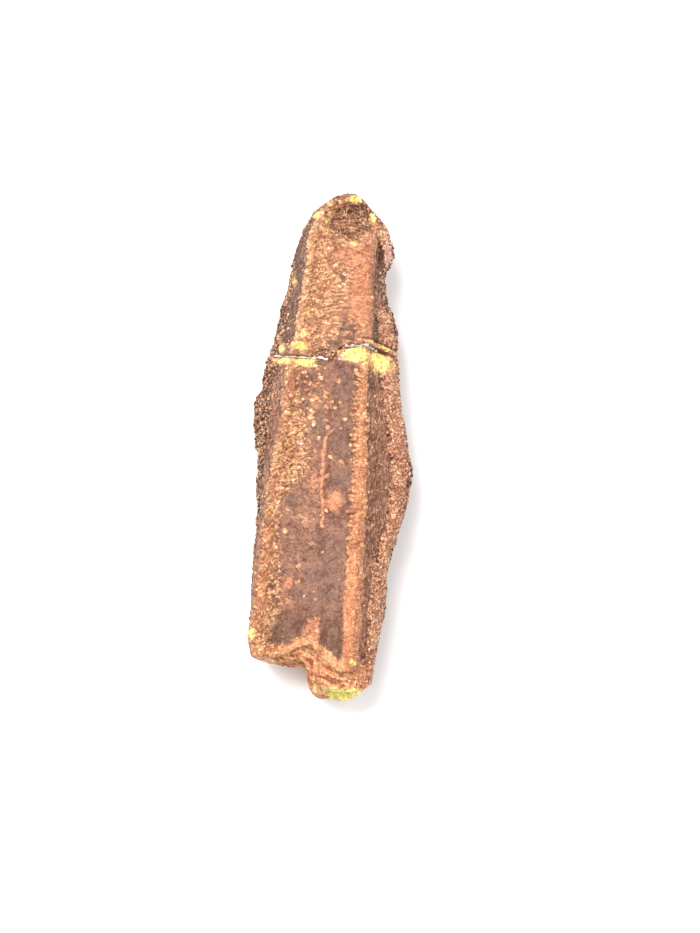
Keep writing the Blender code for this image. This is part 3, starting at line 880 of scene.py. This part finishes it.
for sign, operation in SIGNS.items():
    forward, backward = both_ways(operation)
    setattr(Wire, f"__{sign}__", forward)
    setattr(Wire, f"__r{sign}__", backward)
print("and with + - * / it can", ", ".join(SIGNS.values()).lower())

# %% Trees with named inputs, and growing a mesh with one
SOCKETS = {"Geometry": "Geometry", "Seed": "Int", "Roundness": "Int", "Zone": "String", "Surface": "Object",
           "Material": "Material"}


def new_tree(name, *labels):
    """An empty Geometry Nodes tree, and a wire on each input. SOCKETS has those that aren't a Float."""
    tree = bpy.data.node_groups.new(name, "GeometryNodeTree")
    labels = ("Geometry", *labels)
    for label in labels:
        kind = "NodeSocket" + SOCKETS.get(label, "Float")
        tree.interface.new_socket(label, in_out="INPUT", socket_type=kind)
    tree.interface.new_socket("Geometry", in_out="OUTPUT", socket_type="NodeSocketGeometry")
    given = tree.nodes.new("NodeGroupInput")
    return tree, {label: Wire(tree, given.outputs[label]) for label in labels}


def finish_tree(shape, material):
    """Every tree ends like this: made smooth, its instances made real, then the material set."""
    smooth = shape.node("GeometryNodeSetShadeSmooth", {}, {"Geometry": shape})
    real = smooth.node("GeometryNodeRealizeInstances", {}, {"Geometry": smooth})
    dressed = real.node("GeometryNodeSetMaterial", {}, {"Geometry": real, "Material": material})
    dressed.node("NodeGroupOutput", {}, {"Geometry": dressed})


def grow(tree, carrier, values):
    """The plain mesh that a tree makes of an object."""
    modifier = carrier.modifiers.new(tree.name, "NODES")
    modifier.node_group = tree
    for item in tree.interface.items_tree:
        if item.in_out == "INPUT" and item.name in values:
            modifier[item.identifier] = values[item.name]
    evaluated = carrier.evaluated_get(bpy.context.evaluated_depsgraph_get())
    made = bpy.data.meshes.new_from_object(evaluated)
    carrier.modifiers.remove(modifier)
    print(tree.name, "makes", len(made.polygons), "faces")
    return made


def zone(start, name, kind="FLOAT"):
    """One of the zones, or another attribute, read from the mesh inside a Geometry Nodes tree."""
    return start.node("GeometryNodeInputNamedAttribute", {"data_type": kind}, {"Name": name})


def keep(shape, name, value, kind="FLOAT", domain="POINT"):
    """Writes an attribute on the shape."""
    return shape.node("GeometryNodeStoreNamedAttribute", {"data_type": kind, "domain": domain},
                      {"Geometry": shape, "Name": name, "Value": value})


def moved(shape, offset):
    """The shape with its points moved by this much."""
    return shape.node("GeometryNodeSetPosition", {}, {"Geometry": shape, "Offset": offset})


def position(start):
    """Where each point is, in millimetres."""
    return start.node("GeometryNodeInputPosition") / MM


print("inputs with a type of their own:", ", ".join(SOCKETS))

# %% [markdown]
# ## Weathering the skin
# Under a hand lens the flanks are a crust of rounded grains, the margins carry rows of bead-like papillae
# that are stretched across the ridge, the enamel between is nearly smooth, and the worn hollow at the tip is
# torn. A brush could stamp each grain, but a rule is quicker and can be tuned: scattered cells give a dome
# each, and each zone has its own size and height of dome. The skin is pushed out along its normals, never
# through the flat that it lies on, and the height is kept as an attribute, so that the colours can paint
# shade into the gaps and light onto the tops of the grains.

# %% The weathering tree
MID_RELIEF = 0.45               # the part of a grain's height that stays below the bare skin
BEAD_SHAPE = (0.5, 1.0, 0.7)            # each below 1 draws the form out along that axis
RIB_SHAPE = (0.12, 1.0, 0.12)
TEAR_SHAPE = (0.35, 1.0, 1.0)


def domes(place, size):
    """Rounded grains of uneven height: 1 on a tall grain, 0 in the gaps."""
    height = 1 - place.cells(size).step(0.05, 0.75)
    return height * (0.45 + 0.55 * place.cells(size, "Color").part(0))


def weathering_tree():
    """Pushes the skin out by grains, beads, ribs and tears, each in its own zones."""
    tree, given = new_tree("weathering", "Grain Size", "Grain Height", "Bead Size", "Bead Height",
                           "Rib Spacing", "Tear Height", "Enamel Height", "Seed", "Material")
    start, enamel = given["Geometry"], given["Enamel Height"]
    shift = start.node("FunctionNodeRandomValue", {"data_type": "FLOAT_VECTOR"},
                       {0: (0, 0, 0), 1: (90, 90, 90), "ID": 0, "Seed": given["Seed"]})
    place = position(start) + shift
    bent = place + place.stray(1.6) * 0.5
    grain = domes(bent, given["Grain Size"])
    bead = domes(bent * BEAD_SHAPE, given["Bead Size"])
    rib = 1 - (bent * RIB_SHAPE).cells(given["Rib Spacing"]).step(0.1, 0.55)
    tear = 1 - (place * TEAR_SHAPE).cloud(0.22, 3, 0.65).step(0.3, 0.7)
    shape = zone(start, "face").choose(grain, place.cloud(0.26, 3, 0.65))
    high = zone(start, "face").choose(given["Grain Height"], enamel)
    for name, share, form, height in (
            ("outer", 1.0, grain, given["Grain Height"]), ("upper", 0.6, grain, enamel * 2.2),
            ("margin", 1.0, bead, given["Bead Height"]), ("ribbed", 1.0, rib, given["Bead Height"] * 0.6),
            ("pit", 1.0, tear, given["Tear Height"]), ("fresh", 1.0, tear, enamel * 1.5),
            ("butt", 1.0, tear, enamel * 2.0)):
        here = zone(start, name) * share
        shape = here.choose(shape, form)
        high = here.choose(high, height)
    pushed = moved(start, start.node("GeometryNodeInputNormal") * ((shape - MID_RELIEF) * high * MM))
    where = start.node("GeometryNodeInputPosition")
    raised = start.xyz(where.part(0), where.part(1), where.part(2).most(0.0))
    pushed = start.node("GeometryNodeSetPosition", {}, {"Geometry": pushed, "Position": raised})
    # The height is kept for the material, which paints shade into the gaps and light onto the tops.
    finish_tree(keep(pushed, "relief", shape), given["Material"])
    return tree


fossil = bpy.data.materials.new("fossil")
tooth.data = grow(weathering_tree(), tooth, {
    "Grain Size": 0.3, "Grain Height": 0.17, "Bead Size": 0.36, "Bead Height": 0.24, "Rib Spacing": 0.34,
    "Tear Height": 0.32, "Enamel Height": 0.07, "Seed": 4, "Material": fossil})
spread = np.empty(len(tooth.data.vertices) * 3)
tooth.data.vertices.foreach_get("co", spread)
print("the weathered skin spans", np.ptp(spread.reshape(-1, 3), axis=0).round(5) / MM)

# %% [markdown]
# ## Beads and crust
# The larger papillae stand proud of the enamel, and the flanks carry loose-looking grains that catch the
# light at the outline. These are real small bodies, each a ball of a few dozen faces, squashed, half sunk
# and turned at random. Modelling them one by one would take days. Geometry Nodes scatter points no closer
# than a spacing, where a zone allows, and put a ball on each. Each gets its own square of the texture map,
# so that it can be painted.

# %% A ball on each point
MAP_SHARE = 0.42                # how much of its square of the map a ball takes, to each side


def chance(start, low, high, seed):
    """A random number for each point."""
    return start.node("FunctionNodeRandomValue", {"data_type": "FLOAT"}, {2: low, 3: high, "Seed": seed}, 1)


def mapped(balls, count):
    """Gives each ball its own square of the texture map."""
    rows = count.sum("CEIL", count.sum("SQRT", count))
    cell, spot = zone(balls, "cell"), zone(balls, "spot", "FLOAT_VECTOR")
    u = (cell.sum("FLOORED_MODULO", cell, rows) + 0.5 + MAP_SHARE * spot.part(0)) / rows
    v = (cell.sum("FLOOR", cell / rows) + 0.5 + MAP_SHARE * spot.part(1)) / rows
    return keep(balls, "OFBake", balls.xyz(u, v), "FLOAT2", "CORNER")


def balls_on(points, component, tone, turn, scale, roundness):
    """A ball on each point, numbered, toned and mapped."""
    points = keep(points, "cell", points.node("GeometryNodeInputIndex"))
    points = keep(points, "tone", tone)
    ball = points.node("GeometryNodeMeshIcoSphere", {}, {"Radius": 1.0, "Subdivisions": roundness})
    ball = keep(ball, "spot", ball.node("GeometryNodeInputPosition"), "FLOAT_VECTOR")
    balls = points.node("GeometryNodeInstanceOnPoints", {}, {
        "Points": points, "Instance": ball, "Rotation": turn, "Scale": scale})
    count = points.node("GeometryNodeAttributeDomainSize", {"component": component}, {"Geometry": points},
                        "Point Count")
    return mapped(balls.node("GeometryNodeRealizeInstances", {}, {"Geometry": balls}), count)


print("a ball fills", 2 * MAP_SHARE, "of the side of its square of the map")

# %% The scattering tree
DENT_SCALE, DENT_DEPTH = 5.0, 0.12
CROWDING = 1.5                  # points tried in a square of one spacing, before those too close are dropped


def scatter_tree():
    """Squashed balls, half sunk in a surface, with their long side across the tooth."""
    tree, given = new_tree("scattered_balls", "Surface", "Zone", "Spacing", "Size", "Stretch", "Thickness",
                           "Roundness", "Paleness", "Seed", "Material")
    start, seed, spacing = given["Geometry"], given["Seed"], given["Spacing"] * MM
    surface = start.node("GeometryNodeObjectInfo", {"transform_space": "ORIGINAL"},
                         {"Object": given["Surface"]}, "Geometry")
    points = surface.node("GeometryNodeDistributePointsOnFaces", {"distribute_method": "POISSON"}, {
        "Mesh": surface, "Distance Min": spacing, "Density Max": CROWDING / (spacing * spacing),
        "Density Factor": zone(start, given["Zone"]), "Seed": seed}, "Points")
    upright = points.node("FunctionNodeAlignRotationToVector", {"axis": "Z"},
                          {"Vector": points.also("Normal")})
    across = start.xyz(1.0, chance(start, -0.6, 0.6, seed + 1))
    turned = upright.node("FunctionNodeAlignRotationToVector", {"axis": "X", "pivot_axis": "Z"},
                          {"Rotation": upright, "Vector": across})
    size = given["Size"] * chance(start, 0.3, 0.75, seed + 2) * MM
    stretch = size * chance(start, 1.0, given["Stretch"], seed + 3)
    scale = start.xyz(stretch, size, size * given["Thickness"])
    tone = chance(start, 0.0, 1.0, seed + 4)
    balls = balls_on(points, "POINTCLOUD", tone, turned, scale, given["Roundness"])
    balls = moved(balls, position(start).stray(DENT_SCALE) * (DENT_DEPTH * MM))
    finish_tree(keep(balls, "bead", given["Paleness"]), given["Material"])
    return tree


def scatter(name, **values):
    """A new piece of scattered balls."""
    piece = place_in_scene(name, bpy.data.meshes.new(name))
    piece.data = grow(scattering, piece, {"Surface": tooth, "Material": fossil, **values})
    piece.data.name = name
    return piece


scattering = scatter_tree()
beads = scatter("margin_beads", Zone="beads", Spacing=0.21, Size=0.25, Stretch=1.6, Thickness=0.6,
                Roundness=2, Paleness=1.0, Seed=11)
crust = scatter("flank_crust", Zone="crust", Spacing=0.19, Size=0.21, Stretch=1.4, Thickness=0.8,
                Roundness=1, Paleness=0.0, Seed=23)

# %% [markdown]
# ## Ribs along the margins
# Where the papillae are longest they run together into short ribs that cross the margin, like the milling on
# a coin's edge, and on the left they spread into a fan. They follow a line, so a second tree walks along a
# path that is read from the skin, and lays a long squashed ball across it at every step. Each is nudged
# sideways but not set back on the skin, so a few on the right edge stand just clear of it.

# %% The rib tree
def rib_tree():
    """Long squashed balls across a path, a spacing apart."""
    tree, given = new_tree("ribs_along_a_margin", "Spacing", "Length", "Width", "Height", "Fan", "Seed",
                           "Material")
    start, seed = given["Geometry"], given["Seed"]
    path = start.node("GeometryNodeMeshToCurve", {}, {"Mesh": start})
    points = path.node("GeometryNodeResampleCurve", {"mode": "LENGTH"},
                       {"Curve": path, "Length": given["Spacing"] * MM})
    nudge = start.xyz(chance(start, -0.25, 0.25, seed + 1), chance(start, -0.08, 0.08, seed + 2))
    fan = chance(start, -1.0, 1.0, seed + 4) * given["Fan"]
    tilt = start.xyz(0.0, chance(start, -0.12, 0.12, seed + 3), fan)
    size = chance(start, 0.55, 1.15, seed + 5) * (0.5 * MM)
    longer = chance(start, 0.5, 1.0, seed + 7)
    scale = start.xyz(size * longer * given["Length"], size * given["Width"], size * given["Height"])
    tone = chance(start, 0.35, 0.9, seed + 6)
    ribs = balls_on(moved(points, nudge * MM), "CURVE", tone, tilt, scale, 2)
    finish_tree(keep(ribs, "bead", 1.0), given["Material"])
    return tree


UPPER_SIDE = 6                  # the skin above this height faces up
OUT_OF_REACH = 99


def margin_path(line, beside, low, high):
    """The skin's points that lie beside an edge line, between two places along the tooth."""
    sections = [k for k in range(len(crown)) if low < by[k, 0] < high]
    aside = [np.abs(bx[k] - curve_through(line, by[k]) - beside) for k in sections]
    nearest = [np.where(bz[k] > UPPER_SIDE, far, OUT_OF_REACH).argmin() for k, far in zip(sections, aside)]
    points = [tuple(crown[k, n] * MM) for k, n in zip(sections, nearest)]
    return points, [(k, k + 1) for k in range(len(points) - 1)]


def ribs_along(name, line, beside, low, high, **values):
    """A new piece of ribs across an edge line."""
    piece = place_in_scene(name, bpy.data.meshes.new(name))
    piece.data.from_pydata(*margin_path(line, beside, low, high), [])
    piece.data = grow(ribbing, piece, {"Material": fossil, **values})
    piece.data.name = name
    return piece


ribbing = rib_tree()
right_ribs = ribs_along("right_ribs", RIGHT_MARGIN, -0.25, -7.0, 5.6, Spacing=0.36, Length=1.0, Width=0.36,
                        Height=0.3, Fan=0.4, Seed=5)
right_beads = ribs_along("right_beads", RIGHT_MARGIN, 0.12, -15.0, 6.0, Spacing=0.3, Length=0.55, Width=0.36,
                         Height=0.28, Fan=0.6, Seed=15)
left_ribs = ribs_along("left_ribs", LEFT_MARGIN, 0.75, -3.6, 1.6, Spacing=0.27, Length=1.4, Width=0.28,
                       Height=0.3, Fan=0.7, Seed=8)

# %% [markdown]
# ## Glue in the crack
# Whoever mended the tooth left a bead of clear glue that has gone greyish white along the crack. It is a
# cord laid along the bottom of the crack, of uneven thickness, swept by Geometry Nodes along the skin's own
# points.

# %% The glue tree
GLUE_ACROSS = (-4.95, 2.6)
GLUE_GAPS = ((-0.75, 0.15),)            # x ranges where there is no glue
GLUE_RAISE = 0.2
GLUE_LOWEST = 5.2
GLUE_STEP = 0.07
GLUE_SIDES = 8
SEED_SHIFT = 10.0               # how many millimetres a seed moves the noise that the cord wanders by


def glue_tree():
    """A cord of uneven thickness that wanders a little from its path."""
    tree, given = new_tree("glue_bead", "Thickness", "Wander", "Seed", "Material")
    start = given["Geometry"]
    path = start.node("GeometryNodeMeshToCurve", {}, {"Mesh": start})
    path = path.node("GeometryNodeResampleCurve", {"mode": "LENGTH"},
                     {"Curve": path, "Length": GLUE_STEP * MM})
    place = position(start) + given["Seed"] * SEED_SHIFT
    path = moved(path, place.stray(2.2) * given["Wander"] * MM)
    ring = start.node("GeometryNodeCurvePrimitiveCircle", {}, {"Resolution": GLUE_SIDES, "Radius": MM})
    swell = place.cloud(0.3, 2, 0.6).step(0.3, 0.75)
    thick = given["Thickness"] * (0.25 + swell)
    cord = path.node("GeometryNodeCurveToMesh", {}, {
        "Curve": path, "Profile Curve": ring, "Scale": thick, "Fill Caps": True})
    finish_tree(cord, given["Material"])
    return tree


def glue_path():
    """Runs of points along the bottom of the crack, over the upward half of the skin."""
    vertices, edges = [], []
    sections, columns = crown.shape[:2]
    order = sorted(range(columns), key=lambda k: crown[sections // 2, k, 0])
    nearest = np.abs(by - crack_line(bx, bz)).argmin(0)
    last = None
    for k in order:
        x, y, z = crown[nearest[k], k]
        shown = z > GLUE_LOWEST and GLUE_ACROSS[0] < x < GLUE_ACROSS[1]
        if not shown or any(low < x < high for low, high in GLUE_GAPS):
            last = None if shown else last
            continue
        vertices.append((x * MM, y * MM, (z + GLUE_RAISE) * MM))
        if last is not None:
            edges.append((last, len(vertices) - 1))
        last = len(vertices) - 1
    return vertices, edges


glue = place_in_scene("glue_line", bpy.data.meshes.new("glue_path"))
glue.data.from_pydata(*glue_path(), [])
print("glue along", len(glue.data.vertices), "points")
dried_glue = bpy.data.materials.new("dried_glue")
glue.data = grow(glue_tree(), glue, {"Thickness": 0.13, "Wander": 0.14, "Seed": 0, "Material": dried_glue})

# %% [markdown]
# ## The colours
# The whole crown is one material, because it is one stone: what changes is how stained, worn or freshly
# broken it is, and the shade and light that are painted on. Each zone has a dark colour, for the gaps, and a
# pale one, for the tops of the grains, and says how far the speckle swings between them. The grains' height
# pushes the colour towards the dark in the gaps, as painted shade, and towards the pale on the tops, as
# painted light, and the palest tops get a painted highlight. The zones are laid over one another in order,
# with ragged edges, and only then does one speckle choose between the dark and the pale, so neighbouring
# zones share their grain.

# %% Colours by zone
FINISHES = (  # zone, how much of it is needed, dark and pale (0 to 255 in sRGB), how strongly speckled
    ("flank", 0.5, (92, 54, 38), (282, 210, 164), 2.3),
    # low: the lower flanks, less speckled and darker, which is painted shade.
    ("low", 0.5, (112, 70, 52), (222, 164, 126), 1.1),
    ("bevel", 0.5, (118, 78, 58), (224, 162, 126), 1.2),
    ("dusky", 0.5, (90, 62, 50), (174, 130, 104), 1.1),
    ("face", 0.5, (104, 68, 54), (182, 130, 104), 1.1),
    ("upper", 0.5, (188, 126, 95), (285, 233, 175), 1.35),
    ("outer", 0.3, (150, 94, 68), (276, 208, 168), 1.5),
    ("outer", 0.6, (190, 116, 82), (284, 230, 188), 1.5),
    ("grey", 0.5, (100, 70, 60), (160, 120, 101), 0.9),
    ("margin", 0.25, (128, 84, 62), (234, 172, 126), 1.0),
    ("margin", 0.6, (195, 129, 92), (286, 238, 180), 1.5),
    ("ribbed", 0.2, (134, 88, 66), (216, 156, 118), 0.9),
    ("ribbed", 0.5, (218, 136, 94), (286, 220, 162), 1.2),
    ("warm", 0.2, (144, 92, 70), (226, 160, 122), 0.9),
    ("warm", 0.55, (196, 120, 84), (252, 184, 138), 1.0),
    ("bead", 0.5, (180, 115, 82), (264, 206, 155), 0.9),
    ("pale", 0.5, (232, 168, 146), (276, 246, 232), 0.9),
    ("scoop", 0.45, (104, 72, 57), (156, 114, 95), 0.9),
    ("rim", 0.5, (202, 122, 80), (268, 214, 158), 1.1),
    # On the butt the pit colours also paint the shadow line under the ledge.
    ("pit", 0.5, (92, 52, 38), (244, 180, 140), 1.5),
    ("butt", 0.5, (164, 86, 54), (266, 194, 136), 1.2),
    ("fresh", 0.2, (204, 134, 98), (262, 212, 164), 1.1),
    ("fresh", 0.55, (246, 190, 104), (286, 297, 172), 1.5),
    # glue: the small whitish spots on the face, which are painted highlights.
    ("glue", 0.55, (196, 172, 160), (264, 246, 236), 0.5),
    ("crack", 0.5, (84, 52, 36), (140, 92, 66), 0.5),
)
STUDIO_LIGHT = (1.31, 1.42, 1.49)       # how much brighter than its own colour a face looks, sheen included
# Painted highlights, on the tops of the palest grains.
GLINTS, GLINT = 0.7, (286, 276, 214)    # the tops of the palest grains


def linear(colour):
    """A colour that was written as on a screen, as the renderer counts light."""
    return (*(((c / 255 + 0.055) / 1.055) ** 2.4 / light for c, light in zip(colour, STUDIO_LIGHT)), 1.0)


print("palest base colours", [round(max(linear(row[3])[k] for row in FINISHES), 2) for k in range(3)])

# %% Speckles, each about 0 on average
SPECK_SIZE, GRAINY_SIZE, FINE_SIZE, SOFT_SIZE, BLOTCH_SIZE = 0.16, 0.24, 0.08, 0.42, 1.3
STREAK_SIZE, LAYER_SIZE, VEIN_SIZE, RIPPLE_SIZE = 0.13, 0.26, 0.34, 0.17
LAYER_DIP = 0.3                 # how far the layers across the break fall for each millimetre to the side
ARCH, ARCH_MIDDLE = 0.09, 0.3           # the fine ripples cross the upper crown in arches
PULL = (1, 0.12, 1)             # draws a cloud out along the tooth
STREAK_PULL = (1, 0.25, 1)


def attribute(start, name):
    """A zone, or another number that the mesh carries, read inside a material."""
    return start.node("ShaderNodeAttribute", {"attribute_name": name}, output="Fac")


def speckles(start, place):
    """The cells that all grain shares, the sharp speckle, and the zones that have one of their own."""
    warped = place + 0.25 * place.stray(3.0)
    cell = warped.cells(SPECK_SIZE, "Color").part(0) - 0.5
    fine = place.cloud(FINE_SIZE, 2, 0.7) - 0.5
    sharp = 0.6 * cell - 0.5 * (warped.cells(SPECK_SIZE) - 0.45)
    sharp = sharp + 1.5 * (place.cloud(GRAINY_SIZE, 3, 0.7) - 0.5) + 1.4 * fine
    soft = 0.6 * sharp + 1.1 * (warped.cloud(SOFT_SIZE, 3, 0.6) - 0.5)
    soft = soft + 0.7 * ((place * PULL).cloud(SOFT_SIZE, 3) - 0.5)
    streaks = 3.0 * ((place * STREAK_PULL).cloud(STREAK_SIZE, 3, 0.65) - 0.5)
    bent = place + 1.1 * place.stray(0.7)
    dipping = start.xyz(bent.part(0) * 0.14, bent.part(1) + LAYER_DIP * bent.part(0), bent.part(2))
    layers = 3.0 * (dipping.cloud(LAYER_SIZE, 3, 0.6) - 0.5) + 0.4 * sharp
    beside = place.part(0) - ARCH_MIDDLE
    arched = start.xyz(place.part(0) * 0.35, place.part(1) + ARCH * beside * beside, place.part(2))
    ripples = 2.6 * (arched.cloud(RIPPLE_SIZE, 3, 0.65) - 0.5) + 0.45 * sharp
    veined = 0.06 + 1.9 * (warped.cloud(VEIN_SIZE, 3, 0.6) - 0.5) + 0.35 * sharp
    worn = attribute(start, "upper").step(0.3, 0.7).choose(sharp, ripples)
    return cell, sharp, {
        "low": 0.5 * (sharp + streaks), "outer": 0.85 * sharp + 0.45 * streaks, "bevel": streaks,
        "face": soft, "upper": ripples, "margin": worn, "bead": sharp, "butt": layers, "fresh": veined}


print("the finest speckle is", FINE_SIZE, "mm and the broadest", BLOTCH_SIZE, "mm")

# %% The fossil
RAGGED, TORN, DITHER = 1.4, 0.8, 0.5            # fine, broad and grain by grain: the uneven edges of a zone
EDGE_SOFT = 0.25
# The grains' height moves the tone as painted shade in the gaps and painted light on the tops; the blotches
# and each bead's own tone move it at random.
RELIEF_SHADING_SHARE, BLOTCH_SHARE, BEAD_SHARE = 0.6, 0.6, 0.7           # what else moves the tone up and down
BUMP_STRENGTH, BUMP_HEIGHT = 0.9, 0.075
FOSSIL_ROUGHNESS = 0.5


def bare_material(material):
    """A material without nodes: a wire to start from, and the place on the object in millimetres."""
    material.use_nodes = True
    material.node_tree.nodes.clear()
    start = Wire(material.node_tree)
    return start, start.node("ShaderNodeTexCoord", output="Object") / MM


def dress_fossil(material):
    """Lays the zones over one another, and lets one speckle choose the tone and lift the grains a little."""
    start, place = bare_material(material)
    cell, speck, patterns = speckles(start, place)
    ragged = RAGGED * (place.cloud(0.4, 3, 0.65) - 0.5) + TORN * (place.cloud(1.4, 2) - 0.5) + DITHER * cell
    (_, _, dark, pale, speckled), *overlays = FINISHES
    dark, pale = linear(dark), linear(pale)
    for name, needed, zone_dark, zone_pale, zone_speckled in overlays:
        amount = attribute(start, name)
        here = amount + ragged * amount.step(0.0, 0.25)
        here = here.step(needed - EDGE_SOFT, needed + EDGE_SOFT)
        dark, pale = here.tint(dark, linear(zone_dark)), here.tint(pale, linear(zone_pale))
        speckled = here.choose(speckled, zone_speckled)
        if name in patterns:
            speck = here.choose(speck, patterns[name])
    # Painted shade in the gaps between grains and painted light on their tops.
    relief = RELIEF_SHADING_SHARE * (attribute(start, "relief") - MID_RELIEF)
    tone = 0.5 + speckled * (speck + relief) + BLOTCH_SHARE * (place.cloud(BLOTCH_SIZE, 3) - 0.5)
    tone = tone + BEAD_SHARE * (attribute(start, "tone") - 0.35) * attribute(start, "cell").step(0, 1)
    chosen = tone.step(0.0, 1.0).tint(dark, pale)
    # Painted highlights: the palest tones turn towards a cream white.
    chosen = (GLINTS * tone.step(0.9, 1.25)).tint(chosen, linear(GLINT))
    bump = tone.node("ShaderNodeBump", {}, {
        "Strength": BUMP_STRENGTH, "Distance": BUMP_HEIGHT * MM, "Height": tone})
    shader = tone.node("ShaderNodeBsdfPrincipled", {}, {
        "Base Color": chosen, "Roughness": FOSSIL_ROUGHNESS, "Normal": bump})
    shader.node("ShaderNodeOutputMaterial", {}, {"Surface": shader})
    return len(material.node_tree.nodes)


print("the fossil material has", dress_fossil(fossil), "nodes")

# %% The dried glue
GLUE_DULL, GLUE_WHITE, GLUE_ROUGHNESS = (190, 175, 165), (255, 255, 255), 0.22


def dress_glue(material):
    """Greyish to white, and smoother than the stone."""
    start, place = bare_material(material)
    milky = place.cloud(0.25, 3, 0.6).step(0.35, 0.65)
    shader = milky.node("ShaderNodeBsdfPrincipled", {}, {
        "Base Color": milky.tint(linear(GLUE_DULL), linear(GLUE_WHITE)), "Roughness": GLUE_ROUGHNESS})
    shader.node("ShaderNodeOutputMaterial", {}, {"Surface": shader})
    return len(material.node_tree.nodes)


print("the glue material has", dress_glue(dried_glue), "nodes")

# %% [markdown]
# ## Handing over
# The skin takes the packed solid's place. The beads, crust, ribs and glue ride with it on the same body. The
# box of what is dressed is printed beside the solid's box, to compare.

# %% Hand over
pieces = (tooth, beads, crust, right_ribs, right_beads, left_ribs, glue)
for piece in pieces:
    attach(piece, "root")
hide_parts("tooth")
dressed_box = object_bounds()
for axis in range(3):
    solid_side, dressed_side = (box[1][axis] - box[0][axis] for box in (cad_box, dressed_box))
    print("XYZ"[axis], f"{solid_side / MM:.2f} mm, dressed {100 * dressed_side / solid_side - 100:+.1f}%")
print("triangles:", {p.name: sum(len(f.vertices) - 2 for f in p.data.polygons) for p in pieces})
